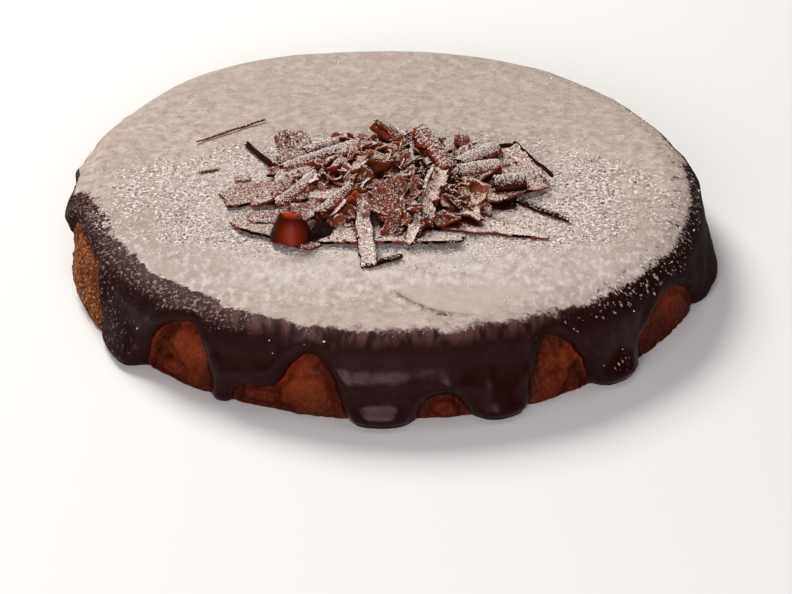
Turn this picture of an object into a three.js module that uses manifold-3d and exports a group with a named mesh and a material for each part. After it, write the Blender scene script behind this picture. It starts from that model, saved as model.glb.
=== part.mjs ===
// A round chocolate cake, about 23 cm across: a low sponge, a poured chocolate icing that runs down
// the side in drips and leaves windows of bare sponge, and a heap of chocolate shavings on top.
// Millimetres, +Z up, the origin at the middle of the base. -Y is the front.
import * as THREE from "three";
import Module from "manifold-3d";
import { mergeVertices } from "three/addons/utils/BufferGeometryUtils.js";

const wasm = await Module();
wasm.setup();

// Driving dimensions
const SPONGE_HEIGHT = 28.2;
const SIDE_RADIUS = 112.6; // where the shoulder meets the side
const FOOT_RADIUS = 115.0; // the side leans out a little towards the base
const SHOULDER_REACH = 12.5; // how far in from the side the top starts to fall
const SHOULDER_DROP = 8.5;
const CONTACT_GAP = 0.3; // between pieces that lie on each other, and below the drips
const ICING_TOP = 2.5; // thickness on the flat top
const ICING_SIDE = 1.9; // thickness where it runs down the side
const DRIP_SWELL = 1.3; // more thickness in the middle of a drip
const POOL_HEIGHT = 15.0; // height up to which a drip spreads towards its foot
const FOOT_TUCK = 0.3; // share by which a drip is drawn in again at the very foot
const FOOT_CUT = 1.2; // how much wider a window is at the very foot, to each side
const LIP = 4.0; // distance over which the icing thins out at a window
const WINDOW_DEPTH = 2.4; // how far the pouring surface dips below the sponge inside a window
const CRAG_DEPTH = 1.5; // deepest crag in the bare sponge
const CRAG_MARGIN = 2.0; // bare rim of a window that stays smooth
const COLUMNS = 150;

// Where the cake is fuller than round: the angle, the spread to each side in degrees, and the share
// of the radius by which it reaches out there.
const BULGES = [
  { at: 66, spread: 28, reach: 0.034 },
  { at: 123, spread: 21, reach: 0.056 },
];

const TOP_LEVEL = SPONGE_HEIGHT + CONTACT_GAP + ICING_TOP;
const SIDE_HEIGHT = SPONGE_HEIGHT - SHOULDER_DROP;

// Bare windows in the icing: the angle of the peak, the reach to each side in degrees, the height
// of the peak, measured up along the sponge's outline, and how square the arch is.
const WINDOWS = [
  { at: -161.5, left: 13, right: 11, top: 25, power: 4 },
  { at: -127, left: 9.5, right: 5, top: 23.5, power: 2.1 },
  { at: -112.5, left: 5, right: 5, top: 8, power: 2.5 },
  { at: -104, left: 6, right: 6.2, top: 22.5, power: 1.8 },
  { at: -80.8, left: 4.6, right: 4, top: 9, power: 2 },
  { at: -61.5, left: 4.2, right: 8, top: 23.5, power: 1.7 },
  { at: -33.5, left: 9, right: 14, top: 19, power: 1.8 },
  { at: 12, left: 8, right: 10, top: 21, power: 1.8 },
  { at: 36, left: 5, right: 4.5, top: 10, power: 2 },
  { at: 59, left: 9, right: 5, top: 23.5, power: 1.7 },
  { at: 83, left: 5, right: 8, top: 15, power: 2 },
  { at: 108, left: 10, right: 6, top: 22.5, power: 1.8 },
  { at: 130, left: 5, right: 5, top: 9, power: 2.2 },
  { at: 153, left: 6, right: 7, top: 24, power: 1.8 },
  { at: 175, left: 7, right: 11, top: 23, power: 2.2 },
];

// Where the icing has gathered at the foot of the side: the angle, the spread to each side in
// degrees, and how far it reaches out there.
const POOLS = [
  { at: -138.5, spread: 7, reach: 5.4 },
  { at: -119.5, spread: 3.5, reach: 2.4 },
  { at: -91.6, spread: 7.5, reach: 4.6 },
  { at: -71.5, spread: 6, reach: 4.4 },
  { at: -48, spread: 6.5, reach: 4.2 },
  { at: -8, spread: 9, reach: 3.6 },
  { at: 26.5, spread: 4, reach: 3 },
  { at: 45, spread: 4.5, reach: 3.6 },
  { at: 71, spread: 7, reach: 4 },
  { at: 94.5, spread: 4, reach: 2.6 },
  { at: 119.5, spread: 5.5, reach: 3.6 },
  { at: 141, spread: 6, reach: 4 },
  { at: 164, spread: 4, reach: 3 },
];

// Shavings that can be told apart in the heap: the middle (x, y and height above the icing), the way
// the length points (yaw, pitch) and the roll about it in degrees, the length, the width of the
// shaved sheet, and how far round the sheet has curled.
const SHAVINGS = [
  { at: [-35, -46, 5], yaw: 75, pitch: 82, roll: 60, length: 8.4, width: 36, bend: 410 },
  { at: [-40, -42, 0.8], yaw: -32, pitch: 0, roll: -4, length: 36, width: 11, bend: 20 },
  { at: [-1, -46, 1.4], yaw: -2, pitch: 0, roll: -5, length: 52, width: 11, bend: 22 },
  { at: [-9, -45, 3.3], yaw: -85, pitch: -8, roll: 0, length: 40, width: 6, bend: 45 },
  { at: [13, -32, 5.9], yaw: -107, pitch: -10, roll: 0, length: 43, width: 8, bend: 170 },
  { at: [16, 2, 9.6], yaw: -65, pitch: -8, roll: 40, length: 27, width: 21, bend: 400 },
  { at: [-1, 18, 8.8], yaw: -40, pitch: -17, roll: 0, length: 15, width: 11, bend: 420 },
  { at: [31, 4, 6.6], yaw: 45, pitch: 0, roll: 90, length: 18, width: 17, bend: 400 },
  { at: [32, -7, 7], yaw: 19, pitch: 0, roll: 60, length: 16, width: 18, bend: 400 },
  { at: [43, -13.2, 6.1], yaw: 12, pitch: 0, roll: 200, length: 12, width: 16, bend: 420 },
  { at: [43.7, -12.3, 3.2], yaw: 27, pitch: -1, roll: 8, length: 26, width: 13, bend: 24 },
  { at: [45.9, 0.8, 4], yaw: -57, pitch: -7, roll: 8, length: 24, width: 15, bend: 30 },
  { at: [51, -22.3, 0.8], yaw: -41, pitch: 0, roll: 0, length: 32, width: 2, bend: 10 },
  { at: [38, -39, 0.6], yaw: -20, pitch: 0, roll: 0, length: 38, width: 8.5, bend: 8 },
  { at: [1, -29, 7.5], yaw: -69, pitch: -21, roll: 160, length: 18, width: 14, bend: 95 },
  { at: [-35.5, 15, 5.2], yaw: 2, pitch: 4, roll: 36, length: 13, width: 12, bend: 30 },
  { at: [-21, 17.5, 5.6], yaw: 26, pitch: 3, roll: 200, length: 23, width: 12, bend: 400 },
  { at: [-25, 5, 6.8], yaw: 25, pitch: 8, roll: 200, length: 31, width: 14, bend: 400 },
  { at: [-26, -1, 4.6], yaw: 25, pitch: 7, roll: 200, length: 23, width: 12, bend: 380 },
  { at: [-47, 15, 1.2], yaw: -59, pitch: 0, roll: 60, length: 29, width: 2, bend: 25 },
  { at: [-37, 3, 1.7], yaw: 8, pitch: 0, roll: 5, length: 15, width: 6, bend: 50 },
  { at: [-33, -18, 5.2], yaw: 46, pitch: 14, roll: 120, length: 21, width: 13, bend: 400 },
  { at: [-38, -14, 3], yaw: 22, pitch: 7, roll: 6, length: 27, width: 10, bend: 30 },
  { at: [-19, -29, 6.6], yaw: 52, pitch: 12, roll: 90, length: 20, width: 11, bend: 330 },
  { at: [-27, -30, 4.2], yaw: 35, pitch: 10, roll: 10, length: 18, width: 9, bend: 50 },
  { at: [-47, -14, 0.8], yaw: 15, pitch: 0, roll: 0, length: 26, width: 14, bend: 14 },
  { at: [-41, -32, 1.8], yaw: 10, pitch: 2, roll: 8, length: 18, width: 8, bend: 40 },
  { at: [4, -6, 9.2], yaw: -88, pitch: -10, roll: 0, length: 22, width: 13, bend: 200 },
  { at: [-7, -8, 9.4], yaw: 15, pitch: 10, roll: -20, length: 16, width: 13, bend: 120 },
  { at: [-13, -14, 8], yaw: -40, pitch: 10, roll: 30, length: 14, width: 11, bend: 110 },
  { at: [26, -22, 5.6], yaw: -30, pitch: 6, roll: 22, length: 17, width: 13, bend: 35 },
  { at: [24, -29, 3.4], yaw: -24, pitch: 4, roll: 18, length: 20, width: 10, bend: 30 },
  { at: [29.5, -26, 3.2], yaw: 25, pitch: 0, roll: 22, length: 13, width: 9, bend: 40 },
  { at: [22, -10, 8], yaw: 70, pitch: -8, roll: -20, length: 18, width: 9, bend: 60 },
  { at: [-12, -31, 4.8], yaw: 28, pitch: 8, roll: 20, length: 24, width: 9, bend: 50 },
  { at: [-2, -62, 0.7], yaw: 30, pitch: 0, roll: 0, length: 14, width: 2.2, bend: 20 },
  { at: [-24.5, -43.5, 2.2], yaw: 55, pitch: 6, roll: 20, length: 10, width: 7, bend: 40 },
  { at: [17.4, -11, 8.2], yaw: -112, pitch: -12, roll: 180, length: 18, width: 8, bend: 330 },
  { at: [39.5, -21, 1.2], yaw: 14, pitch: 0, roll: 20, length: 11, width: 6, bend: 30 },
  { at: [41.6, 13.4, 6.6], yaw: 11, pitch: 3, roll: 75, length: 11, width: 1.5, bend: 20 },
  { at: [52.4, 4.6, 5.6], yaw: -58, pitch: -6, roll: 75, length: 25, width: 1.3, bend: 15 },
];

// The rest of the heap, laid by rule over its core
const HEAP = { middle: [2, -8], reachX: 41, reachY: 36, height: 7 };
const FILL_COUNT = 5;
const SHAVING_THICKNESS = 1.3;

// Slivers that lie on the icing apart from the heap: the middle, the yaw, the length and the width
const SLIVERS = [
  { at: [-60, 38], yaw: 36, length: 30, width: 0.8 },
  { at: [-54, -0.5], yaw: 12, length: 6, width: 3.6 },
  { at: [-66, 6], yaw: 24, length: 8, width: 1 },
];
const SLIVER_HEIGHT = 1.2;
const SLIVER_ROOT = 0.6; // how deep a sliver sits in the icing

const TAU = Math.PI * 2;
const radians = THREE.MathUtils.degToRad;
const smooth = THREE.MathUtils.smoothstep;

// A repeatable run of numbers from 0 to 1
function drawer(seed) {
  let state = seed;
  return () => {
    state = (state * 1664525 + 1013904223) % 4294967296;
    return state / 4294967296;
  };
}

// The cake's plan is not quite a circle: a share of the radius at an angle
function plan(angle) {
  const lean = 0.016 * Math.cos(angle - radians(150)) + 0.006 * Math.cos(2 * (angle - radians(135)));
  return BULGES.reduce((total, { at, spread, reach }) => {
    const turn = THREE.MathUtils.euclideanModulo(angle / radians(1) - at + 180, 360) - 180;
    return total + reach * Math.exp(-((turn / spread) ** 2));
  }, 1.008 + lean);
}

// Distance from the nearest window's rim, in millimetres: above 0 on the icing, below 0 in a window.
// The rise is measured up along the sponge's outline from the base.
function fromWindow(angle, rise) {
  let nearest = Infinity;
  for (const { at, left, right, top, power } of WINDOWS) {
    const turn = THREE.MathUtils.euclideanModulo(angle - radians(at) + Math.PI, TAU) - Math.PI;
    const reach = radians(turn < 0 ? left : right) * FOOT_RADIUS;
    const across = Math.max(Math.abs(turn) * FOOT_RADIUS - FOOT_CUT * Math.exp(-rise / 2.5), 0);
    const sum = (across / reach) ** power + (rise / top) ** power;
    const size = Math.max(sum ** (1 / power), 1e-6);
    const slope = Math.hypot(
      (across / reach) ** (power - 1) / reach,
      (rise / top) ** (power - 1) / top,
    ) * size ** (1 - power);
    nearest = Math.min(nearest, (size - 1) / Math.max(slope, 1e-3));
  }
  return nearest;
}

// Rows of the sponge's outline from the middle of the top to the base: the radius, height, outward
// normal and rise of each
function outlineRows(flatRadii, shoulderSteps, sideSteps) {
  const flatEdge = SIDE_RADIUS - SHOULDER_REACH;
  const rows = flatRadii.map((share) => ({ r: flatEdge * share, z: SPONGE_HEIGHT, nr: 0, nz: 1 }));
  for (let i = 0; i < shoulderSteps; i++) {
    const fall = (i / shoulderSteps) * (Math.PI / 2);
    const normal = new THREE.Vector2(Math.sin(fall) / SHOULDER_REACH, Math.cos(fall) / SHOULDER_DROP);
    normal.normalize();
    rows.push({
      r: flatEdge + SHOULDER_REACH * Math.sin(fall),
      z: SIDE_HEIGHT + SHOULDER_DROP * Math.cos(fall),
      nr: normal.x,
      nz: normal.y,
    });
  }
  const side = new THREE.Vector2(SIDE_HEIGHT, FOOT_RADIUS - SIDE_RADIUS).normalize();
  for (let i = 0; i <= sideSteps; i++) {
    const share = i / sideSteps;
    rows.push({
      r: THREE.MathUtils.lerp(SIDE_RADIUS, FOOT_RADIUS, share),
      z: SIDE_HEIGHT * (1 - share),
      nr: side.x,
      nz: side.y,
    });
  }
  rows.at(-1).rise = 0;
  for (let i = rows.length - 2; i >= 0; i--) {
    const step = Math.hypot(rows[i].r - rows[i + 1].r, rows[i].z - rows[i + 1].z);
    rows[i].rise = rows[i + 1].rise + step;
  }
  return rows;
}

// A closed round body: rows run from the middle of the top to the edge of the flat base. Each is
// moved out along its normal by swell(angle, row), and the last one is set at the base's height.
function roundBody(rows, base, swell) {
  const upwards = [...rows].reverse();
  const profile = [new THREE.Vector2(0, base), ...upwards.map((row) => new THREE.Vector2(row.r, row.z))];
  const geometry = new THREE.LatheGeometry(profile, COLUMNS);
  const position = geometry.attributes.position;
  for (let column = 0; column <= COLUMNS; column++) {
    const angle = ((column % COLUMNS) / COLUMNS) * TAU;
    const first = column * profile.length;
    position.setXYZ(first, 0, 0, base);
    upwards.forEach((row, i) => {
      const out = swell(angle, row);
      const r = row.r === 0 ? 0 : row.r * plan(angle) + row.nr * out;
      const z = i === 0 ? base : Math.max(base, row.z + row.nz * out);
      position.setXYZ(first + 1 + i, r * Math.cos(angle), r * Math.sin(angle), z);
    });
  }
  return geometry;
}

// Closed geometry to a solid for joining and cutting, and back
function solidOf(geometry) {
  const bare = geometry.clone();
  bare.deleteAttribute("normal");
  bare.deleteAttribute("uv");
  const merged = mergeVertices(bare, 1e-4);
  const corners = merged.index.array;
  const kept = [];
  for (let i = 0; i < corners.length; i += 3) {
    const [a, b, c] = corners.slice(i, i + 3);
    if (a !== b && b !== c && c !== a) kept.push(a, b, c);
  }
  return new wasm.Manifold(
    new wasm.Mesh({
      numProp: 3,
      vertProperties: merged.attributes.position.array,
      triVerts: new Uint32Array(kept),
    }),
  );
}

function geometryOf(solid) {
  const { vertProperties, triVerts } = solid.getMesh();
  const geometry = new THREE.BufferGeometry();
  geometry.setAttribute("position", new THREE.BufferAttribute(vertProperties, 3));
  geometry.setIndex(new THREE.BufferAttribute(triVerts, 1));
  geometry.computeVertexNormals();
  return geometry;
}

// The largest body of a solid, without loose scraps
function mainBody(solid) {
  return solid.decompose().sort((a, b) => b.volume() - a.volume())[0];
}

// The sponge, with an uneven crag at each point of the side that shows in a window
function spongeGeometry() {
  return roundBody(outlineRows([0], 3, 6), 0, (angle, row) => {
    const bare = smooth(-fromWindow(angle, row.rise), 0, CRAG_MARGIN);
    const scatter = Math.sin(angle * 917 + row.rise * 59) * 4375;
    const crag = CRAG_DEPTH * (scatter - Math.floor(scatter));
    return row.rise > 0 ? -crag * bare : 0;
  });
}

// How far the icing reaches out at the foot at an angle
function gathered(angle) {
  return POOLS.reduce((total, { at, spread, reach }) => {
    const turn = THREE.MathUtils.euclideanModulo(angle / radians(1) - at + 180, 360) - 180;
    return total + reach * Math.exp(-((turn / spread) ** 2));
  }, 0);
}

// How thick the icing is over a point of the sponge's outline
function icingThickness(angle, row) {
  const rim = fromWindow(angle, row.rise);
  if (rim <= 0) return Math.max(rim * ICING_SIDE / LIP, -WINDOW_DEPTH);
  const onTop = row.nz ** 2;
  const drip = smooth(rim, 0, 2 * LIP) * (1 - onTop);
  const pool = smooth(rim, 0, LIP) * (1 - smooth(row.z, 0, POOL_HEIGHT)) * gathered(angle);
  const skin = THREE.MathUtils.lerp(ICING_SIDE, ICING_TOP, onTop);
  const swell = DRIP_SWELL * drip * (1 - row.z / SPONGE_HEIGHT) + pool;
  const tuck = 1 - FOOT_TUCK * Math.exp(-((row.z / 1.4) ** 2));
  return (skin * Math.min(rim / LIP, 1) + swell) * tuck;
}

function sliver({ at, yaw, length, width }) {
  const slab = new THREE.BoxGeometry(length, width, SLIVER_HEIGHT + SLIVER_ROOT);
  slab.rotateZ(radians(yaw));
  return slab.translate(at[0], at[1], TOP_LEVEL + (SLIVER_HEIGHT - SLIVER_ROOT) / 2);
}

// The poured outside, less the sponge with the gap round it. Inside a window the outside dips below
// the sponge, so nothing of it is left there.
function icingGeometry() {
  const outside = (angle, row) => CONTACT_GAP + icingThickness(angle, row);
  const poured = solidOf(roundBody(outlineRows([0, 0.6], 3, 7), CONTACT_GAP, outside));
  const belowFoot = { r: FOOT_RADIUS, z: -CONTACT_GAP, nr: 1, nz: 0 };
  const covered = solidOf(
    roundBody([...outlineRows([0], 3, 1), belowFoot], -CONTACT_GAP, () => CONTACT_GAP),
  );
  let icing = mainBody(poured.subtract(covered));
  for (const spec of SLIVERS) icing = icing.add(solidOf(sliver(spec)));
  return geometryOf(icing);
}

// A shaved sheet: a band of the sheet's thickness that follows an arc, or a spiral past one turn,
// extruded along its length. It lies along X with the hollow side up.
function shaving({ at, yaw, pitch, roll, length, width, bend }) {
  const turn = Math.max(radians(bend), 0.05);
  const grow = turn > TAU ? 1.25 * SHAVING_THICKNESS / TAU : 0; // radius gained with each radian
  const start = (width - grow * turn * turn / 2) / turn;
  const steps = Math.max(2, Math.ceil(turn / radians(70)));
  const edge = (offset) => (i) => {
    const swept = (i / steps) * turn;
    const radius = start + grow * swept + offset;
    const facing = swept - turn / 2 - Math.PI / 2;
    return new THREE.Vector2(radius * Math.cos(facing), radius * Math.sin(facing) + start);
  };
  const along = [...Array(steps + 1).keys()];
  const section = new THREE.Shape([
    ...along.map(edge(SHAVING_THICKNESS / 2)),
    ...along.reverse().map(edge(-SHAVING_THICKNESS / 2)),
  ]);
  const sheet = new THREE.ExtrudeGeometry(section, { depth: length, bevelEnabled: false, steps: 1 });
  if (turn > Math.PI) sheet.translate(0, -start, 0);
  sheet.translate(0, 0, -length / 2).rotateX(Math.PI / 2).rotateZ(Math.PI / 2);
  sheet.rotateX(radians(roll)).rotateY(-radians(pitch)).rotateZ(radians(yaw));
  return sheet.translate(at[0], at[1], TOP_LEVEL + at[2]);
}

// Height of the heap's core above the icing
function coreHeight(x, y) {
  const share = ((x - HEAP.middle[0]) / HEAP.reachX) ** 2 + ((y - HEAP.middle[1]) / HEAP.reachY) ** 2;
  return HEAP.height * Math.sqrt(Math.max(0, 1 - share));
}

// Shavings that fill the heap: short flat ones and rolls at all angles, resting on the core
function fillShavings() {
  const draw = drawer(29);
  return Array.from({ length: FILL_COUNT }, () => {
    const angle = draw() * TAU;
    const share = Math.sqrt(draw()) * 0.86;
    const x = HEAP.middle[0] + HEAP.reachX * share * Math.cos(angle);
    const y = HEAP.middle[1] + HEAP.reachY * share * Math.sin(angle);
    const rolled = draw() < 0.4;
    return {
      at: [x, y, coreHeight(x, y) + 0.4 + draw() * 1.2],
      yaw: draw() * 360,
      pitch: -14 + draw() * 28,
      roll: -20 + draw() * 40,
      length: 10 + draw() * 14,
      width: rolled ? 11 + draw() * 5 : 5 + draw() * 6,
      bend: rolled ? 370 + draw() * 50 : 20 + draw() * 90,
    };
  });
}

// The heap: its core and all its shavings, cut off flat just above the icing
function heapGeometry() {
  const core = new THREE.SphereGeometry(1, 20, 10).rotateX(Math.PI / 2);
  core.scale(HEAP.reachX, HEAP.reachY, HEAP.height);
  core.translate(HEAP.middle[0], HEAP.middle[1], TOP_LEVEL);
  let heap = solidOf(core);
  for (const spec of [...SHAVINGS, ...fillShavings()]) heap = heap.add(solidOf(shaving(spec)));
  const below = new THREE.BoxGeometry(300, 300, 40).translate(0, 0, TOP_LEVEL + CONTACT_GAP - 20);
  return geometryOf(mainBody(heap.subtract(solidOf(below))));
}

function node(name, geometry, color, roughness) {
  const material = new THREE.MeshStandardMaterial({ color, roughness, metalness: 0 });
  const mesh = new THREE.Mesh(geometry, material);
  mesh.name = name;
  return mesh;
}

const cake = new THREE.Group();
cake.add(node("sponge", spongeGeometry(), 0x6e3016, 0.9));
cake.add(node("icing", icingGeometry(), 0x2a1410, 0.35));
cake.add(node("shavings", heapGeometry(), 0x4a2018, 0.5));

export default cake;
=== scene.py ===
import math

import bpy
import numpy as np
from mathutils import Matrix, Vector
from mathutils.bvhtree import BVHTree


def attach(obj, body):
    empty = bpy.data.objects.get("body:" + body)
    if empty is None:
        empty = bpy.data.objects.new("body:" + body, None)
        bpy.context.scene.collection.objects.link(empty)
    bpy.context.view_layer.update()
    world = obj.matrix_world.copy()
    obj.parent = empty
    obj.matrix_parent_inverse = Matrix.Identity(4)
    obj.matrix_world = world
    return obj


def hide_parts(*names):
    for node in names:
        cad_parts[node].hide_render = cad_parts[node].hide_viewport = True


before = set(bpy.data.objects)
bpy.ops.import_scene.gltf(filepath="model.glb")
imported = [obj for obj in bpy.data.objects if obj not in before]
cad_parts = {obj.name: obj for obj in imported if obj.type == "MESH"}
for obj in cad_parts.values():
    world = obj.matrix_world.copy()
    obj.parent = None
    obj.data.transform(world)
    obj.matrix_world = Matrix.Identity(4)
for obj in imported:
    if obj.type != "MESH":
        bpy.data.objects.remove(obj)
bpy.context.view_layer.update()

MM = 0.001
TAU = 2 * math.pi

# Driving sizes, those of the solids
SPONGE_HEIGHT = 28.2
SIDE_RADIUS = 112.6  # where the shoulder meets the side
FOOT_RADIUS = 115.0
SHOULDER_REACH = 12.5
SHOULDER_DROP = 8.5
CONTACT_GAP = 0.3
ICING_TOP = 2.5
ICING_SIDE = 1.9
DRIP_SWELL = 1.3
POOL_HEIGHT = 15.0
SIDE_HEIGHT = SPONGE_HEIGHT - SHOULDER_DROP
TOP_LEVEL = SPONGE_HEIGHT + CONTACT_GAP + ICING_TOP

# Looks
COLUMNS = 1024  # points round the cake
LIP = 2.2  # distance over which the icing rounds off at a window
FOOT_CUT = 1.2  # how much wider a window is at the very foot, which rounds off the drips
SIDE_BULGE = 0.7  # slow fold of the icing half way down the side
BROW = (-88, 12, 1.5)  # fold in front: angle, spread to each side in degrees and swelling
BROW_HEIGHT = 12.8
BROW_SPREAD = 4.8  # up and down from that height
LIP_ROLL = 1.3  # swelling of the icing along the upper rim of a window
WINDOW_DEPTH = 3.2  # how far the pouring surface dips below the sponge in a window
COVERED_BASE = -4  # the form cut out of the icing reaches below its foot
COARSEST_RING = 16  # fewest points of a ring round the cake's middle
RESTING_GAP = 0.12  # between the icing and what lies on it
SHEET_GRID = 0.9  # spacing of the points of a shaving
SHEET_THICKNESS = 1.3
FLAKE_THICKNESS = 0.55
SLIVER_THICKNESS = 0.6
SLIVER_LIFT = 0.55  # of its middle above the icing
SLIVER_FORM = (20, 0, 0, 0.2, 0.8)  # curl, ribs, narrowing, crumpling and sugar, as for a shaving
RIB_SPACING = 1.5  # along a ribbed roll
DEEP_RIBS = 0.25  # ribs deeper than this need a closer grid, and shade the roll
NARROW = 3.5  # shavings narrower than this get painted shade all over
CORE_RINGS = 25
CORE_POINTS = 96  # round each ring of the core
CHIP_COUNT = 520
DUST_LEAN = -0.1  # height of the normal above which sugar holds on
FLAKE_LEAN = -0.15  # the same on the small flakes
ICING_GRAINS = 23000
HEAP_GRAINS = (8000, 7500, 6500, 800)  # on the rolls, the flat shavings, the flakes and the core

# Bare windows in the icing: angle of the peak, reach to each side in degrees, height of the peak
# measured up along the sponge's outline, and how square the arch is
WINDOWS = [
    (-161.5, 13, 11, 25, 4),
    (-127, 9.5, 5, 23.5, 2.1),
    (-112.5, 5, 5, 8, 2.5),
    (-104, 6, 6.2, 22.5, 1.8),
    (-80.8, 4.6, 4, 9, 2),
    (-61.5, 4.2, 8, 23.5, 1.7),
    (-33.5, 9, 14, 19, 1.8),
    (12, 8, 10, 21, 1.8),
    (36, 5, 4.5, 10, 2),
    (59, 9, 5, 23.5, 1.7),
    (83, 5, 8, 15, 2),
    (108, 10, 6, 22.5, 1.8),
    (130, 5, 5, 9, 2.2),
    (153, 6, 7, 24, 1.8),
    (175, 7, 11, 23, 2.2),
]

# Lumps of sponge that bulge out of the windows in front: angle, height up the side, reach to each
# side and up, and how far they bulge
LUMPS = [
    (-163, 11, 15, 12, 2.2),
    (-127.5, 16, 6.5, 9, 2.0),
    (-130.5, 5, 6, 3.6, 2.6),
    (-125.3, 4, 4, 3, 1.6),
    (-104, 7.5, 11, 9.5, 2.4),
    (-104, 20.5, 4.5, 3, 1.2),
    (-112, 4.5, 9, 2.6, 1.8),
    (-80.5, 3, 5, 4, 1.6),
    (-56.5, 14.5, 6, 6, 1.8),
    (-60.5, 6, 6.5, 5, 2.4),
]

# Where the icing has gathered at the foot: angle, spread to each side in degrees and reach
POOLS = [
    (-138.5, 7, 5.4),
    (-119.5, 3.5, 2.4),
    (-91.6, 7.5, 4.6),
    (-71.5, 6, 4.4),
    (-48, 6.5, 4.2),
    (-8, 9, 3.6),
    (26.5, 4, 3),
    (45, 4.5, 3.6),
    (71, 7, 4),
    (94.5, 4, 2.6),
    (119.5, 5.5, 3.6),
    (141, 6, 4),
    (164, 4, 3),
]

# Where the cake is fuller than round: angle, spread to each side in degrees, and the share of the
# radius by which it reaches out there
BULGES = [
    (66, 28, 0.034),
    (123, 21, 0.056),
]

# Low curved ridges left from spreading the top: middle of the arc, radius, first and last angle in
# degrees, and height
SPREAD_ARCS = [
    (25.4, -73.4, 24.5, 200, 285, 0.9),
    (4, -58, 34, 235, 300, 0.4),
    (40, -48, 44, 225, 290, 0.4),
    (-30, -40, 58, 215, 262, 0.35),
    (10, 20, 74, 40, 120, 0.35),
    (-10, 10, 70, 130, 200, 0.3),
]
ARC_FADE = 18  # degrees over which a ridge dies away at each end

# Shavings that can be told apart: middle, yaw, pitch, roll, length, width of the sheet and how far
# round it has curled, in degrees. Then how deep its ribs are, how much it narrows along its length,
# how far it is crumpled and how much sugar it has caught.
SHAVINGS = [
    ((-35, -46, 5.0), 75, 82, 60, 8.4, 36, 410, 0, -0.22, 0.12, 0.12),
    ((-40, -42, 0.8), -32, 0, -4, 36, 11, 20, 0, 0.1, 0.1, 0.8),
    ((-1, -46, 1.4), -2, 0, -5, 52, 11, 22, 0, 0, 0.25, 0.9),
    ((-9, -45, 3.3), -85, -8, 0, 40, 6, 45, 0, 0.1, 0.2, 0.9),
    ((13, -32, 5.9), -107, -10, 0, 43, 8, 170, 0, -0.25, 0.3, 1),
    ((16, 2, 9.6), -65, -8, 40, 27, 21, 400, 0.24, 0, 0.2, 0.45),
    ((-1, 18, 8.8), -40, -17, 0, 15, 11, 420, 0, 0, 0.2, 0.25),
    ((31, 4, 6.6), 45, 0, 90, 18, 17, 400, 0.15, 0, 0.3, 0.75),
    ((32, -7, 7.0), 19, 0, 60, 16, 18, 400, 0.15, 0, 0.2, 0.7),
    ((43, -13.2, 6.1), 12, 0, 200, 12, 16, 420, 0.3, 0, 0.2, 1.7),
    ((43.7, -12.3, 3.2), 27, -1, 8, 26, 13, 24, 0, -0.08, 0.25, 0.85),
    ((45.9, 0.8, 4.0), -57, -7, 8, 24, 15, 30, 0, 0, 0.45, 0.85),
    ((51, -22.3, 0.8), -41, 0, 0, 32, 2, 10, 0, 0, 0.2, 1),
    ((38, -39, 0.6), -20, 0, 0, 38, 8.5, 8, 0, -0.55, 0.1, 1),
    ((1, -29, 7.5), -69, -21, 160, 18, 14, 95, 0, 0.15, 0.3, 0.45),
    ((-35.5, 15, 5.2), 2, 4, 36, 13, 12, 30, 0, 0, 0.35, 0.8),
    ((-21, 17.5, 5.6), 26, 3, 200, 23, 12, 400, 0.1, 0, 0.3, 0.7),
    ((-25, 5, 6.8), 25, 8, 200, 31, 14, 400, 0.2, 0, 0.4, 0.75),
    ((-26, -1, 4.6), 25, 7, 200, 23, 12, 380, 0.1, 0, 0.4, 0.65),
    ((-47, 15, 1.2), -59, 0, 60, 29, 2, 25, 0, 0, 0.3, 0.15),
    ((-37, 3, 1.7), 8, 0, 5, 15, 6, 50, 0, 0, 0.5, 0.4),
    ((-33, -18, 5.2), 46, 14, 120, 21, 13, 400, 0.1, 0, 0.3, 0.65),
    ((-38, -14, 3.0), 22, 7, 6, 27, 10, 30, 0, 0, 0.5, 0.75),
    ((-19, -29, 6.6), 52, 12, 90, 20, 11, 330, 0, 0, 0.3, 0.4),
    ((-27, -30, 4.2), 35, 10, 10, 18, 9, 50, 0, 0, 0.6, 0.72),
    ((-47, -14, 0.8), 15, 0, 0, 26, 14, 14, 0, 0, 0.12, 0.7),
    ((-41, -32, 1.8), 10, 2, 8, 18, 8, 40, 0, 0, 0.6, 0.75),
    ((4, -6, 9.2), -88, -10, 0, 22, 13, 200, 0, 0, 0.5, 0.7),
    ((-7, -8, 9.4), 15, 10, -20, 16, 13, 120, 0, 0, 1.8, 1),
    ((-13, -14, 8), -40, 10, 30, 14, 11, 110, 0, 0, 1.8, 1),
    ((26, -22, 5.6), -30, 6, 22, 17, 13, 35, 0, 0, 2.2, 1),
    ((24, -29, 3.4), -24, 4, 18, 20, 10, 30, 0, 0, 1.8, 1),
    ((29.5, -26, 3.2), 25, 0, 22, 13, 9, 40, 0, 0, 1.8, 1),
    ((22, -10, 8), 70, -8, -20, 18, 9, 60, 0, 0, 1.0, 0.7),
    ((-12, -31, 4.8), 28, 8, 20, 24, 9, 50, 0, 0, 0.8, 0.65),
    ((-2, -62, 0.7), 30, 0, 0, 14, 2.2, 20, 0, 0, 0.3, 0.5),
    # A bare dark flake as painted shade in the crevice beside the upright roll
    ((-24.5, -43.5, 2.2), 55, 6, 20, 10, 7, 40, 0, 0, 1.6, 0),
    ((17.4, -11, 8.2), -112, -12, 180, 18, 8, 330, 0, 0, 0.3, 0.8),
    # A bare dark flake as a painted shadow under the front lip of the leaf
    ((39.5, -21, 1.2), 14, 0, 20, 11, 6, 30, 0, 0, 0.9, 0),
    # Thin dark strips as painted shade along the leaf's raised back edge
    ((41.6, 13.4, 6.6), 11, 3, 75, 11, 1.5, 20, 0, 0, 0.4, 0.1),
    ((52.4, 4.6, 5.6), -58, -6, 75, 25, 1.3, 15, 0, 0, 0.4, 0.1),
]
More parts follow.
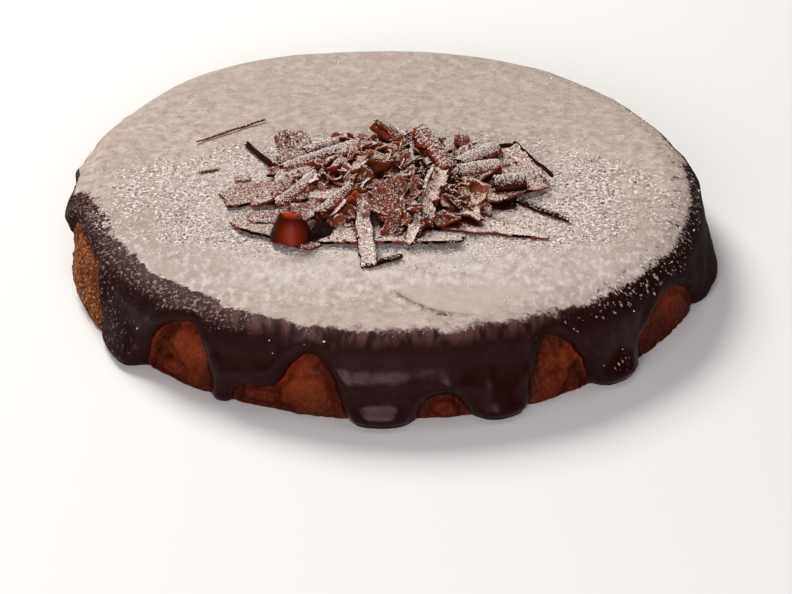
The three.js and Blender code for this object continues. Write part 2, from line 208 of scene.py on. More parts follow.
BARREL_PAINTED_GLOW = (-0.0345, -0.0525, 0.0365)  # middle of the painted glow where light would show through the upright roll, in metres
# Middle of the painted light at the mouth of the upright roll, in metres
BARREL_MOUTH_PAINTED_GLOW = (-0.0345, -0.0415, 0.0395)
WARM_PATCHES = ((0.027, -0.024, 0.0), (-0.004, 0.003, 0.0))  # crumpled flakes with cocoa, in metres
HEAP_MIDDLE = (2, -8)
HEAP_REACH = (41, 36)
HEAP_HEIGHT = 7
LEVEL_REACH = (76, 66)  # of the oval round the heap's middle inside which the icing is level
FILL_COUNT = 5
FIRST_GOLDEN = 27  # shavings vary from red to golden from this number on

# Small flakes: middle and reach of the patch they fill, how many, and how large they are
FLAKES = [
    (HEAP_MIDDLE, HEAP_REACH, 150, 1.0),
    (HEAP_MIDDLE, (36, 30), 90, 0.6),
    ((27, -25), (10, 8), 36, 0.7),
    ((-2, 2), (13, 15), 46, 0.75),
]

# Slivers on the icing apart from the heap: middle, yaw, length and width
SLIVERS = [
    ((-60, 38), 36, 30, 0.8),
    ((-54, -0.5), 12, 6, 3.6),
    ((-66, 6), 24, 8, 1.0),
]


# Repeatable chance and smooth noise


def drawer(seed):
    """A repeatable run of numbers from 0 to 1, the same run as the solids are laid by."""
    state = seed
    while True:
        state = (state * 1664525 + 1013904223) % 2**32
        yield state / 2**32


def lattice(cell, seed):
    """A number from 0 to 1 for each whole-number cell."""
    x, y, z = cell.astype(np.int64).T
    mixed = (x * 374761393 + y * 668265263 + z * 1440662683 + seed * 974634777) & 0xFFFFFFFF
    mixed = ((mixed ^ (mixed >> 15)) * 2246822519) & 0xFFFFFFFF
    mixed = ((mixed ^ (mixed >> 13)) * 3266489917) & 0xFFFFFFFF
    return (mixed ^ (mixed >> 16)) / 2**32


def noise(points, size, seed=0):
    """Smooth noise from -1 to 1, with lumps of about that size."""
    place = np.asarray(points, float) / size
    cell = np.floor(place)
    share = place - cell
    share = share * share * (3 - 2 * share)
    total = np.zeros(len(place))
    for corner in np.ndindex(2, 2, 2):
        weight = np.prod(np.where(corner, share, 1 - share), axis=1)
        total += weight * lattice(cell + corner, seed)
    return 2 * total - 1


def fractal(points, size, octaves, seed=0):
    """Noise with finer lumps on the lumps."""
    total = np.zeros(len(points))
    for octave in range(octaves):
        total += noise(points, size / 2**octave, seed + octave) / 2**octave
    return total


def nodules(points, size, seed=0):
    """Distance to the nearest of one scattered point per cell, in cells: round lumps."""
    place = np.asarray(points, float) / size
    cell = np.floor(place)
    nearest = np.full(len(place), 9.0)
    for step in np.ndindex(3, 3, 3):
        there = cell + step - 1
        spot = there + np.stack([lattice(there, seed + axis) for axis in range(3)], axis=1)
        nearest = np.minimum(nearest, np.linalg.norm(spot - place, axis=1))
    return nearest


def smooth(value, low, high):
    """A smooth step from 0 to 1 while the value goes from low to high."""
    share = np.clip((value - low) / (high - low), 0, 1)
    return share * share * (3 - 2 * share)


# Meshes from arrays


def mesh_object(name, points, faces):
    """A smooth-shaded mesh object from points in millimetres and arrays of faces."""
    mesh = bpy.data.meshes.new(name)
    sizes = np.concatenate([np.full(len(block), block.shape[1]) for block in faces])
    corners = np.concatenate([block.ravel() for block in faces]).astype(np.int32)
    mesh.vertices.add(len(points))
    mesh.vertices.foreach_set("co", (np.asarray(points) * MM).ravel())
    mesh.loops.add(len(corners))
    mesh.loops.foreach_set("vertex_index", corners)
    mesh.polygons.add(len(sizes))
    mesh.polygons.foreach_set("loop_start", (np.cumsum(sizes) - sizes).astype(np.int32))
    mesh.update(calc_edges=True)
    mesh.validate()
    mesh.shade_smooth()
    piece = bpy.data.objects.new(name, mesh)
    bpy.context.scene.collection.objects.link(piece)
    return piece


def write_layer(piece, name, kind, domain, values):
    """Writes values to a new attribute of a piece."""
    layer = piece.data.attributes.new(name, kind, domain)
    layer.data.foreach_set("vector" if kind == "FLOAT_VECTOR" else "value", np.ravel(values))


def read_layer(mesh, name):
    """The numbers that an attribute holds for the points of a mesh."""
    values = np.empty(len(mesh.vertices))
    mesh.attributes[name].data.foreach_get("value", values)
    return values


def points_of(mesh):
    """The points of a mesh, in metres."""
    xyz = np.empty(len(mesh.vertices) * 3)
    mesh.vertices.foreach_get("co", xyz)
    return xyz.reshape(-1, 3)


def triangles_of(mesh):
    """The corners of each triangle of a mesh."""
    mesh.calc_loop_triangles()
    corners = np.empty(len(mesh.loop_triangles) * 3, np.int32)
    mesh.loop_triangles.foreach_get("vertices", corners)
    return corners.reshape(-1, 3)


def ring_faces(counts):
    """Faces of a closed body of rings, from its lowest middle point out and up to its top one.
    Neighbouring rings have the same number of points, or one has twice as many."""
    starts = np.concatenate([[0], np.cumsum(counts)])
    quads, triangles = [], []
    for low, high, a, b in zip(starts, starts[1:], counts, counts[1:]):
        i = np.arange(max(a, b))
        j = np.arange(min(a, b))
        if a == b:
            quads.append(np.stack([low + i, low + (i + 1) % a, high + (i + 1) % a, high + i], 1))
        elif b == 1:
            triangles.append(np.stack([low + i, low + (i + 1) % a, high + 0 * i], 1))
        elif a == 1:
            triangles.append(np.stack([low + 0 * i, high + (i + 1) % b, high + i], 1))
        elif a == 2 * b:
            left, mid, right = low + 2 * j, low + 2 * j + 1, low + (2 * j + 2) % a
            first, second = high + j, high + (j + 1) % b
            for corners in ((left, mid, first), (mid, second, first), (mid, right, second)):
                triangles.append(np.stack(corners, 1))
        else:
            left, mid, right = high + 2 * j, high + 2 * j + 1, high + (2 * j + 2) % b
            first, second = low + j, low + (j + 1) % a
            for corners in ((mid, left, first), (second, mid, first), (right, mid, second)):
                triangles.append(np.stack(corners, 1))
    return [np.concatenate(block) for block in (quads, triangles) if block]


# The cake's form


def turn_from(angle, at):
    """How far an angle lies past one that is given in degrees, in radians from -pi to pi."""
    return (angle - math.radians(at) + math.pi) % TAU - math.pi


def peaks(angle, rows):
    """Sum of rounded peaks round the cake: the angle, the spread in degrees and the height of each."""
    total = np.zeros(np.shape(angle))
    for at, spread, reach in rows:
        total += reach * np.exp(-((np.degrees(turn_from(angle, at)) / spread) ** 2))
    return total


def plan(angle):
    """The cake's plan is not quite a circle: a share of the radius at an angle."""
    lean = 0.016 * np.cos(angle - math.radians(150))
    oval = 0.006 * np.cos(2 * (angle - math.radians(135)))
    return 1.008 + lean + oval + peaks(angle, BULGES)


def sponge_outline():
    """Rise, radius, height and normal of points from the foot of the side to the middle of the top."""
    side_count = 60
    share = np.linspace(0, 1, side_count)
    fall = np.linspace(math.pi / 2, 0, 90)[1:]
    flat = SIDE_RADIUS - SHOULDER_REACH
    r = np.concatenate([FOOT_RADIUS + (SIDE_RADIUS - FOOT_RADIUS) * share,
                        flat + SHOULDER_REACH * np.sin(fall), [0]])
    z = np.concatenate([SIDE_HEIGHT * share, SIDE_HEIGHT + SHOULDER_DROP * np.cos(fall),
                        [SPONGE_HEIGHT]])
    rise = np.concatenate([[0], np.cumsum(np.hypot(np.diff(r), np.diff(z)))])
    nr = np.concatenate([np.full(side_count, SIDE_HEIGHT), np.sin(fall) / SHOULDER_REACH, [0]])
    nz = np.concatenate([np.full(side_count, FOOT_RADIUS - SIDE_RADIUS), np.cos(fall) / SHOULDER_DROP,
                         [1]])
    length = np.hypot(nr, nz)
    return rise, r, z, nr / length, nz / length


OUTLINE = sponge_outline()
MIDDLE_RISE = OUTLINE[0][-1]


def outline_at(rise):
    """Radius, height and normal of the sponge's outline at a rise."""
    return [np.interp(rise, OUTLINE[0], values) for values in OUTLINE[1:]]


def from_window(angle, rise):
    """Distance from the nearest window's rim: above 0 on the icing, below 0 in a window. Half way
    between two windows it turns over smoothly."""
    total = np.zeros(np.shape(angle))
    blend = 0.45  # how sharply it turns over
    for at, left, right, top, power in WINDOWS:
        turn = turn_from(angle, at)
        reach = np.radians(np.where(turn < 0, left, right)) * FOOT_RADIUS
        across = np.maximum(np.abs(turn) * FOOT_RADIUS - FOOT_CUT * np.exp(-rise / 2.5), 0)
        size = np.maximum(((across / reach) ** power + (rise / top) ** power) ** (1 / power), 1e-6)
        slope = np.hypot((across / reach) ** (power - 1) / reach, (rise / top) ** (power - 1) / top)
        slope = np.maximum(slope * size ** (1 - power), 1e-3)
        total += np.exp(-blend * np.clip((size - 1) / slope, -40, 60))
    return -np.log(total) / blend


def on_outline(angle, rise):
    """The points of the sponge's plain surface, for noise."""
    r, z = outline_at(rise)[:2]
    r = r * plan(angle)
    return np.stack([r * np.cos(angle), r * np.sin(angle), z], 1)


def ragged_rim(angle, rise):
    """Distance from a window's rim, with the unevenness of a poured edge."""
    place = on_outline(angle, rise)
    return from_window(angle, rise) + 0.7 * noise(place, 5, 3) + 0.35 * noise(place, 2.2, 4)


def ring(count, rise, base, swell, at_base=False):
    """Points round the sponge's outline at a rise, moved out along its normal by swell(angle, rise)."""
    angle = np.arange(count) / count * TAU
    rises = np.full(count, rise)
    r, z, nr, nz = outline_at(rises)
    out = swell(angle, rises)
    radius = r * plan(angle) + nr * out
    height = np.full(count, base) if at_base else np.maximum(base, z + nz * out)
    return np.stack([radius * np.cos(angle), radius * np.sin(angle), height], 1)


def round_body(rises, columns, base, swell):
    """Points and faces of a closed round body: rings at those rises, over a flat base."""
    edge = ring(columns, 0.0, base, swell, True)
    rings = [edge]
    share, step = 1.0, 1
    while columns // step > COARSEST_RING:
        step *= 2
        share *= 0.72
        rings.insert(0, edge[::step] * [share, share, 1])
    rings.insert(0, np.array([[0, 0, base]]))
    count = columns
    for rise in rises:
        radius = outline_at(rise)[0]
        if count > COARSEST_RING and TAU * radius / count < 0.62 * wanted_spacing(columns, radius):
            count //= 2
        rings.append(ring(count, rise, base, swell))
    top = swell(np.zeros(1), np.full(1, MIDDLE_RISE))[0]
    rings.append(np.array([[0, 0, SPONGE_HEIGHT + top]]))
    return np.concatenate(rings), ring_faces([len(points) for points in rings])


def wanted_spacing(columns, radius):
    """Wanted spacing round a ring: that of the side, and double on the flat top."""
    side = TAU * FOOT_RADIUS / columns
    return side if radius > SIDE_RADIUS - SHOULDER_REACH else 2 * side


def rise_steps(side_step, side_end, top_step):
    """Rises of the rings above the base: close on the side, wider on the top."""
    side = np.arange(side_step, side_end, side_step)
    top = np.arange(side_end, MIDDLE_RISE - top_step, top_step)
    return np.concatenate([side, top])


# Sponge


def crumb(angle, rise):
    """Relief of the bare crumb: crags, round nodules and pores. Covered sponge stays smooth."""
    place = on_outline(angle, rise)
    bare = smooth(-ragged_rim(angle, rise), -0.3, 1.0)
    rim = from_window(angle, rise)
    relief = 0.9 * fractal(place, 7, 3, 11) + 1.9 * noise(place, 13, 15) - 1.2 * smooth(rim, -5, 0)
    relief += 0.7 * (0.55 - nodules(place, 2.4, 21)) - 0.7
    for at, up, wide, tall, height in LUMPS:
        across = turn_from(angle, at) * FOOT_RADIUS
        away = np.hypot(across / wide, (rise - up) / tall) + 0.22 * noise(place, 4, 17)
        relief += height * (1 - smooth(away, 0.6, 1.05))
    pores = np.minimum(noise(place, 1.9, 31) + 0.25, 0)
    relief += 1.5 * pores - 0.15
    return np.where(rise < 0.3, 0.35, 1) * bare * np.clip(relief, -3.2, 1.9) - 0.15 * (1 - bare)


def make_sponge():
    """The sponge. Each point keeps how far it stands out, for the painted light and shade of its colour."""
    rises = rise_steps(side_step=0.6, side_end=27, top_step=4)
    points, faces = round_body(rises, COLUMNS, 0, crumb)
    piece = mesh_object("sponge_crumb", points, faces)
    x, y, z = points.T
    plain = np.interp(z, OUTLINE[2], OUTLINE[1])
    relief = np.hypot(x, y) / plan(np.arctan2(y, x)) - plain
    write_layer(piece, "relief", "FLOAT", "POINT", relief)
    return piece


# Icing


def spread_marks(x, y):
    """Height of the ridges left from spreading the top, each with a low furrow inside it."""
    relief = np.zeros(len(x))
    for cx, cy, radius, first, last, height in SPREAD_ARCS:
        away = np.hypot(x - cx, y - cy) - radius
        turn = (np.degrees(np.arctan2(y - cy, x - cx)) - first) % 360
        length = last - first
        fade = smooth(turn, 0, ARC_FADE) * (1 - smooth(turn, length - ARC_FADE, length))
        fade = fade * (1 - smooth(np.hypot(x, y), 97, 102))
        furrow = 0.6 * np.exp(-(((away + 3) / 2) ** 2))
        relief += height * fade * (np.exp(-((away / 1.3) ** 2)) - furrow)
    return relief


def icing_thickness(angle, rise):
    """How thick the icing is over a point of the sponge, with the gap under it."""
    _, z, _, nz = outline_at(rise)
    place = on_outline(angle, rise)
    rim = ragged_rim(angle, rise)
    on_top = nz**2
    lip = np.sqrt(np.clip(1 - (1 - np.clip(rim / LIP, 0, 1)) ** 2, 0, 1))
    drip = smooth(rim, 0, 8) * (1 - on_top)
    pool = smooth(rim, 0, 4) * (1 - smooth(z, 0, POOL_HEIGHT)) * peaks(angle, POOLS)
    roll = np.exp(-(((rim - 3.4) / 2.2) ** 2)) * smooth(rise, 8, 15) * (1 - on_top)
    skin = ICING_SIDE + (ICING_TOP - ICING_SIDE) * on_top
    flow = np.stack([FOOT_RADIUS * np.cos(angle), rise / 5, FOOT_RADIUS * np.sin(angle)], 1)
    ripple = 0.5 * noise(flow, 12, 41) + 0.3 * noise(flow, 5, 42) + 0.12 * noise(flow, 2.4, 46)
    fold = z + 6 * noise(flow, 13, 45)
    bulge = np.exp(-(((fold - 13) / 5) ** 2)) - 0.7 * np.exp(-(((fold - 6) / 4) ** 2))
    ripple += SIDE_BULGE * bulge * smooth(rim, 1, 6)
    waves = 0.3 * noise(place, 34, 43) + 0.1 * noise(place, 13, 44)
    waves += spread_marks(place[:, 0], place[:, 1]) * smooth(on_top, 0.7, 1)
    swell = DRIP_SWELL * drip * (1.1 - z / SPONGE_HEIGHT) + pool + LIP_ROLL * roll
    brow = peaks(angle, [BROW]) * np.exp(-(((z - BROW_HEIGHT) / BROW_SPREAD) ** 2))
    swell += brow * smooth(rim, 0, 4)
    thick = (skin + swell + ripple * (1 - on_top) + waves * on_top) * lip
    thick *= 1 - 0.3 * np.exp(-((z / 1.4) ** 2))
    across, back = ((place[:, :2] - HEAP_MIDDLE) / LEVEL_REACH).T
    uneven = smooth(np.hypot(across, back), 0.75, 1.15)
    thick = np.where(on_top > 0.99, ICING_TOP + (thick - ICING_TOP) * uneven, thick)
    return CONTACT_GAP + np.where(rim > 0, thick, np.maximum(2.5 * rim, -WINDOW_DEPTH))


def cut(body, tool):
    """The body less the tool, as a new mesh on the body."""
    modifier = body.modifiers.new("cut", "BOOLEAN")
    modifier.operation = "DIFFERENCE"
    modifier.solver = "MANIFOLD"
    modifier.object = tool
    graph = bpy.context.evaluated_depsgraph_get()
    result = bpy.data.meshes.new_from_object(body.evaluated_get(graph))
    body.modifiers.clear()
    body.data = result
    result.name = body.name
    bpy.data.objects.remove(tool)


def half_gap(angle, _):
    """How far the covered form stands out from the sponge."""
    return np.full(np.shape(angle), CONTACT_GAP / 2)


def make_icing():
    """The poured icing: what is poured less the sponge that it covers."""
    rises = rise_steps(side_step=0.7, side_end=36.4, top_step=1.25)
    points, faces = round_body(rises, COLUMNS, CONTACT_GAP, icing_thickness)
    icing = mesh_object("icing_poured", points, faces)
    rises = rise_steps(side_step=2.0, side_end=36.4, top_step=9)
    points, faces = round_body(rises, COLUMNS // 4, COVERED_BASE, half_gap)
    cut(icing, mesh_object("covered", points, faces))
    icing.data.shade_smooth()
    icing.data.set_sharp_from_angle(angle=math.radians(62))
    return icing


# Shavings


def turned(points, middle, yaw, pitch, roll):
    """Points laid along X, turned by roll, pitch and yaw, and moved to a middle above the icing."""
    turn = Matrix.Rotation(math.radians(yaw), 3, "Z")
    turn = turn @ Matrix.Rotation(-math.radians(pitch), 3, "Y")
    turn = turn @ Matrix.Rotation(math.radians(roll), 3, "X")
    placed = points @ np.array(turn).T + [middle[0], middle[1], TOP_LEVEL + middle[2]]
    placed[:, 2] += max(0, TOP_LEVEL + RESTING_GAP - placed[:, 2].min())
    return placed


def sheet_grid(length, width, step):
    """Numbers of the points of a grid over a sheet, and the share of each along and across it."""
    along = np.linspace(-1, 1, max(6, round(length / step)) + 1)
    across = np.linspace(-1, 1, max(5, round(width / step)) + 1)
    u, v = np.meshgrid(along, across, indexing="ij")
    return np.arange(u.size).reshape(u.shape), u.ravel(), v.ravel()


def sheet_faces(grid):
    """Faces of two layers over a grid and of the wall between them, and the points along its rim."""
    outer = np.stack([grid[:-1, :-1], grid[1:, :-1], grid[1:, 1:], grid[:-1, 1:]], -1).reshape(-1, 4)
    inner = outer[:, ::-1] + grid.size
    rim = np.concatenate([grid[:-1, 0], grid[-1, :-1], grid[:0:-1, -1], grid[0, :0:-1]])
    after = np.roll(rim, -1)
    wall = np.stack([after, rim, rim + grid.size, after + grid.size], 1)
    return np.concatenate([outer, inner, wall]), rim


def painted_shade_of(width, ribs, sugar):
    """How much painted shade darkens a shaving all over: most on one without sugar, then on narrow and
    deeply ribbed ones.
    """
    if sugar == 0:
        return 1.0
    if width < NARROW:
        return 0.93
    return 0.7 if ribs > DEEP_RIBS else 0.0


def sheet(seed, length, width, bend, ribs, narrowing, crumple, sugar, thickness=SHEET_THICKNESS):
    """A shaved sheet along X with its hollow side up, curled round X: points, faces, the place of
    each point on the sheet, how much painted shade each face has and how much sugar each point has caught."""
    chance = drawer(seed)
    turn = max(math.radians(bend), 0.05)
    rolled = turn > TAU
    grow = 1.25 * thickness / TAU if rolled else 0  # radius gained with each radian
    start = (width - grow * turn * turn / 2) / turn
    grid, u, v = sheet_grid(length, width, SHEET_GRID / 2 if ribs > DEEP_RIBS else SHEET_GRID)
    along, across, own = u * length / 2, v * width / 2, np.full(len(u), seed * 7.3)
    spot = np.stack([along, across, own], 1)
    ends = np.stack([np.sign(u) * 5, across, own], 1)
    sides = np.stack([along, np.sign(v) * 5, own], 1)

    # Torn ends and sides
    ragged = min(0.16, 3.2 / length)
    x = along * (1 + ragged * fractal(ends, 3.2, 2, 51) * np.abs(u) ** 3)
    narrow = 1 - (0.05 if rolled else 0.2) * np.abs(u) ** 4
    torn = 1 if bend > 100 else 1.7
    narrow += torn * (0.12 * noise(sides, 6, 52) + 0.08 * noise(sides, 2.2, 57)) * np.abs(v) ** 3

    # The curl, with its ribs and uneven thickness
    swept = v / 2 * turn * narrow * (1 if rolled else 1 + narrowing * u)
    cone = 1 + (narrowing + (next(chance) - 0.5) * 0.12) * u
    radius = (start + grow * (swept + turn / 2)) * cone
    wave = np.sin(TAU * along / RIB_SPACING + 1.2 * swept)
    radius += ribs * wave
    radius += 0.16 * fractal(spot, 4, 2, 53) + 0.1 * noise(spot * [0.12, 1, 1], 0.9, 54)
    thin = thickness * (1 - 0.35 * np.abs(u) ** 8) * (1 - 0.15 * np.abs(v) ** 8)

    # Bowed, twisted and crumpled
    warp = min(1, 3 * crumple)
    bow = (next(chance) - 0.5) * 0.05 * length * warp
    twist = (next(chance) - 0.5) * (0.25 if rolled else 0.5) * warp
    lean = twist * u * min(length / 30, 1)
    folds = np.stack([crumple * fractal(spot, 5.5, 2, 55 + axis) for axis in range(3)], 1)
    facing = swept - math.pi / 2
    layers = []
    for side in (-1, 1):
        reach = radius + side * thin / 2
        y = reach * np.cos(facing)
        z = reach * np.sin(facing) + (0 if turn > math.pi else start * cone)
        y, z = y * np.cos(lean) - z * np.sin(lean), y * np.sin(lean) + z * np.cos(lean)
        layers.append(np.stack([x, y, z + bow * (u * u - 0.33)], 1) + folds)

    # Painted shade: the broken edge is dark, and only in dashes where the sheet itself has no painted shade
    faces, rim = sheet_faces(grid)
    dark = painted_shade_of(width, ribs, sugar)
    edge = min(1, thickness / SHEET_THICKNESS) * np.clip(0.95 + 0.3 * noise(spot[rim], 3.5, 58), 0.8, 1)
    shade = np.full(len(faces), dark)
    shade[-len(rim):] = edge if dark else edge == 1
    mark = np.tile(np.stack([along, across, np.full(len(u), float(seed))], 1), (2, 1))
    caught = np.tile(sugar * (1 - min(1, 2 * ribs) * smooth(-wave, -0.6, 0.5)), 2)
    return np.concatenate(layers), faces, mark, shade, caught


def in_patch(middle, reach, share, angle):
    """The place at an angle in an oval patch, that share of the way from its middle to its rim."""
    return middle[0] + reach[0] * share * np.cos(angle), middle[1] + reach[1] * share * np.sin(angle)


def core_height(x, y):
    """Height of the heap's core above the icing."""
    share = ((x - HEAP_MIDDLE[0]) / HEAP_REACH[0]) ** 2 + ((y - HEAP_MIDDLE[1]) / HEAP_REACH[1]) ** 2
    return HEAP_HEIGHT * np.sqrt(np.maximum(0, 1 - share))


def fill_shavings():
    """The shavings laid by rule over the core, as in the solids."""
    chance = drawer(29)
    for _ in range(FILL_COUNT):
        angle = next(chance) * TAU
        x, y = in_patch(HEAP_MIDDLE, HEAP_REACH, math.sqrt(next(chance)) * 0.86, angle)
        rolled = next(chance) < 0.4
        lift = float(core_height(x, y)) + 0.4 + next(chance) * 1.2
        yaw = next(chance) * 360
        pitch = -14 + next(chance) * 28
        roll = -20 + next(chance) * 40
        length = 10 + next(chance) * 14
        width = 11 + next(chance) * 5 if rolled else 5 + next(chance) * 6
        bend = 370 + next(chance) * 50 if rolled else 20 + next(chance) * 90
        yield (x, y, lift), yaw, pitch, roll, length, width, bend, 0, 0, 0.5, 0.9


def loose_flakes():
    """Small thin flakes that fill the heap between the shavings."""
    chance = drawer(83)
    for middle, reach, count, size in FLAKES:
        for _ in range(count):
            angle = next(chance) * TAU
            x, y = in_patch(middle, reach, next(chance) ** 0.6 * 1.02, angle)
            lift = float(core_height(x, y)) * 0.92 + 0.5 + next(chance) * 2.2 / size
            yaw = next(chance) * 360
            pitch = -45 + next(chance) * 90
            roll = -60 + next(chance) * 120
            length = (4 + next(chance) * 9) * size
            width = (2 + next(chance) * 6) * size
            bend = 20 + next(chance) ** 2 * 220
            sugar = (0.5 + 0.6 * next(chance)) / size
            if x < 30 or y > -6:  # none in front on the right
                yield (x, y, lift), yaw, pitch, roll, length, width, bend, 0, 0, 0.9, sugar


def joined(name, parts):
    """One object from several sheets. What is known of their points goes into attributes."""
    points, faces, marks, shades, sugars = zip(*parts)
    first = np.cumsum([0] + [len(lot) for lot in points[:-1]])
    faces = np.concatenate([lot + start for lot, start in zip(faces, first)])
    piece = mesh_object(name, np.concatenate(points), [faces])
    piece.data.set_sharp_from_angle(angle=math.radians(50))
    write_layer(piece, "sheet", "FLOAT_VECTOR", "POINT", np.concatenate(marks))
    write_layer(piece, "shade", "FLOAT", "FACE", np.concatenate(shades))
    write_layer(piece, "dust", "FLOAT", "POINT", np.concatenate(sugars))
    return piece


def laid(seed, spec, thickness=SHEET_THICKNESS):
    """A shaving from its row, in its place."""
    middle, yaw, pitch, roll, *form = spec
    points, *rest = sheet(seed, *form, thickness)
    return turned(points, middle, yaw, pitch, roll), *rest


def make_shavings():
    """The rolls, the flat shavings and the small flakes of the heap. Each has a number of its own."""
    rolls, flat = [], []
    for seed, spec in enumerate([*SHAVINGS, *fill_shavings()]):
        bend = spec[6]
        (rolls if bend > 180 else flat).append(laid(seed, spec))
    flakes = [laid(seed, spec, FLAKE_THICKNESS) for seed, spec in enumerate(loose_flakes(), 100)]
    for seed, ((x, y), yaw, length, width) in enumerate(SLIVERS, 60):
        spec = ((x, y, SLIVER_LIFT), yaw, 0, 0, length, width, *SLIVER_FORM)
        flat.append(laid(seed, spec, SLIVER_THICKNESS))
    return [
        joined("shaving_rolls", rolls),
        joined("shaving_sheets", flat),
        joined("shaving_flakes", flakes),
    ]


def make_core():
    """The low uneven middle of the heap, under the shavings."""
    angle = np.arange(CORE_POINTS) / CORE_POINTS * TAU
    rings = [np.array([[*HEAP_MIDDLE, TOP_LEVEL + RESTING_GAP]])]
    for share in np.linspace(1, 0, CORE_RINGS + 1)[:-1]:
        x, y = in_patch(HEAP_MIDDLE, HEAP_REACH, 0.93 * share, angle)
        lumps = 1.1 * fractal(np.stack([x, y, 0 * x], 1), 7, 3, 61)
        height = np.maximum(RESTING_GAP, core_height(x, y) * 0.86 - 0.9 + lumps)
        if share == 1:
            height[:] = RESTING_GAP
        rings.append(np.stack([x, y, TOP_LEVEL + height], 1))
    rings.append(np.array([[*HEAP_MIDDLE, TOP_LEVEL + HEAP_HEIGHT * 0.8]]))
    points = np.concatenate(rings)
    piece = mesh_object("shaving_core", points, ring_faces([len(lot) for lot in rings]))
    write_layer(piece, "sheet", "FLOAT_VECTOR", "POINT", points)
    return piece


# Crumbs and grains

BEAD = np.array([(1, 0, 0), (-1, 0, 0), (0, 1, 0), (0, -1, 0), (0, 0, 1), (0, 0, -1)], float)
BEAD_FACES = np.array([(0, 2, 4), (2, 1, 4), (1, 3, 4), (3, 0, 4),
                       (2, 0, 5), (1, 2, 5), (3, 1, 5), (0, 3, 5)])


def beads(name, places, sizes, stretch, flatness, seed):
    """Small uneven eight-sided bits, one at each place, all in one mesh."""
    chance = np.random.default_rng(seed)
    count = len(places)
    corners = len(BEAD)
    shape = BEAD[None] * chance.uniform(0.65, 1.35, (count, corners, 1)) * sizes[:, None, None]
    shape[:, :, 0] *= chance.uniform(1, stretch, (count, 1))
    shape += chance.normal(0, 0.18, (count, corners, 3)) * sizes[:, None, None]
    axis = chance.normal(size=(count, 3))
    axis /= np.linalg.norm(axis, axis=1, keepdims=True)
    turn = chance.uniform(0, math.pi, (count, 1, 1))
    axis = np.broadcast_to(axis[:, None], shape.shape)
    cross = np.cross(axis, shape)
    dot = (axis * shape).sum(2, keepdims=True)
    shape = shape * np.cos(turn) + cross * np.sin(turn) + axis * dot * (1 - np.cos(turn))
    shape[:, :, 2] *= flatness
    points = (shape + places[:, None]).reshape(-1, 3)
    faces = (BEAD_FACES[None] + corners * np.arange(count)[:, None, None]).reshape(-1, 3)
    return mesh_object(name, points, [faces])


def make_chips(heap):
    """Crumbs of chocolate among and around the shavings."""
    chance = np.random.default_rng(5)
    angle = chance.uniform(0, TAU, CHIP_COUNT)
    share = chance.uniform(0, 1, CHIP_COUNT) ** 0.5 * 1.3
    x, y = in_patch(HEAP_MIDDLE, HEAP_REACH, share, angle)
    z = np.array([drop(heap, place) for place in zip(x, y)])
    sizes = 0.16 + 0.4 * chance.uniform(0, 1, CHIP_COUNT) ** 3
    places = np.stack([x, y, z + sizes * 0.5], 1)
    piece = beads("chocolate_chips", places, sizes, stretch=2.4, flatness=1, seed=6)
    write_layer(piece, "sheet", "FLOAT_VECTOR", "POINT", np.repeat(places, len(BEAD), axis=0))
    return piece


# What lies open to the sky

UP = Vector((0, 0, 1))
DOWN = Vector((0, 0, -1))


def tree_of(pieces):
    """A search tree over several pieces, in metres."""
    points, faces, first = [], [], 0
    for piece in pieces:
        points.append(points_of(piece.data))
        faces.append(triangles_of(piece.data) + first)
        first += len(points[-1])
    return BVHTree.FromPolygons(np.concatenate(points).tolist(), np.concatenate(faces).tolist())


def drop(tree, place):
    """Height in millimetres at which something let fall at a place comes to rest."""
    hit = tree.ray_cast(Vector((place[0] * MM, place[1] * MM, 0.2)), DOWN)[0]
    return hit.z / MM if hit else TOP_LEVEL


# Where to look for cover: straight up, and leaning out to five sides
SKY = [UP] + [Vector((0.42 * math.cos(a), 0.42 * math.sin(a), 0.9)) for a in (0.3, 1.6, 2.9, 4.1, 5.4)]


def open_sky(tree, points, normals):
    """Share of the sky above each point, in metres, that nothing covers."""
    shares = np.zeros(len(points))
    for i, (place, normal) in enumerate(zip(points, normals)):
        if normal[2] < -0.1:
            continue
        start = Vector(place) + Vector(normal) * 0.0004
        shares[i] = sum(tree.ray_cast(start, way, 0.06)[0] is None for way in SKY) / len(SKY)
    return shares


def dust_attribute(piece, tree, lean):
    """Writes how open each point of a piece lies and how much sugar has settled there. Sugar holds
    on where the normal's height is above lean."""
    mesh = piece.data
    normals = np.empty(len(mesh.vertices) * 3)
    mesh.vertex_normals.foreach_get("vector", normals)
    normals = normals.reshape(-1, 3)
    sky = open_sky(tree, points_of(mesh), normals)
    write_layer(piece, "open", "FLOAT", "POINT", sky)
    share = sky * smooth(normals[:, 2], lean, lean + 0.95)
    if "dust" in mesh.attributes:
        share *= read_layer(mesh, "dust")
        mesh.attributes["dust"].data.foreach_set("value", share)
    else:
        write_layer(piece, "dust", "FLOAT", "POINT", share)


def scatter_on(piece, count, seed, keep):
    """Places and normals on a piece, spread by area, where keep(places, normals) allows."""
    chance = np.random.default_rng(seed)
    mesh = piece.data
    corners = triangles_of(mesh)
    points = points_of(mesh) / MM
    a, b, c = (points[corners[:, i]] for i in range(3))
    across = np.cross(b - a, c - a)
    area = np.linalg.norm(across, axis=1)
    normals = across / np.maximum(area, 1e-12)[:, None]
    weight = area * keep((a + b + c) / 3, normals)
    if "dust" in mesh.attributes:
        weight *= smooth(read_layer(mesh, "dust")[corners].mean(axis=1), 0.1, 0.6)
    pick = chance.choice(len(area), count, p=weight / weight.sum())
    s, t = chance.uniform(0, 1, (2, count))
    flip = s + t > 1
    s, t = np.where(flip, 1 - s, s)[:, None], np.where(flip, 1 - t, t)[:, None]
    places = a[pick] + (b[pick] - a[pick]) * s + (c[pick] - a[pick]) * t
    return places, normals[pick]


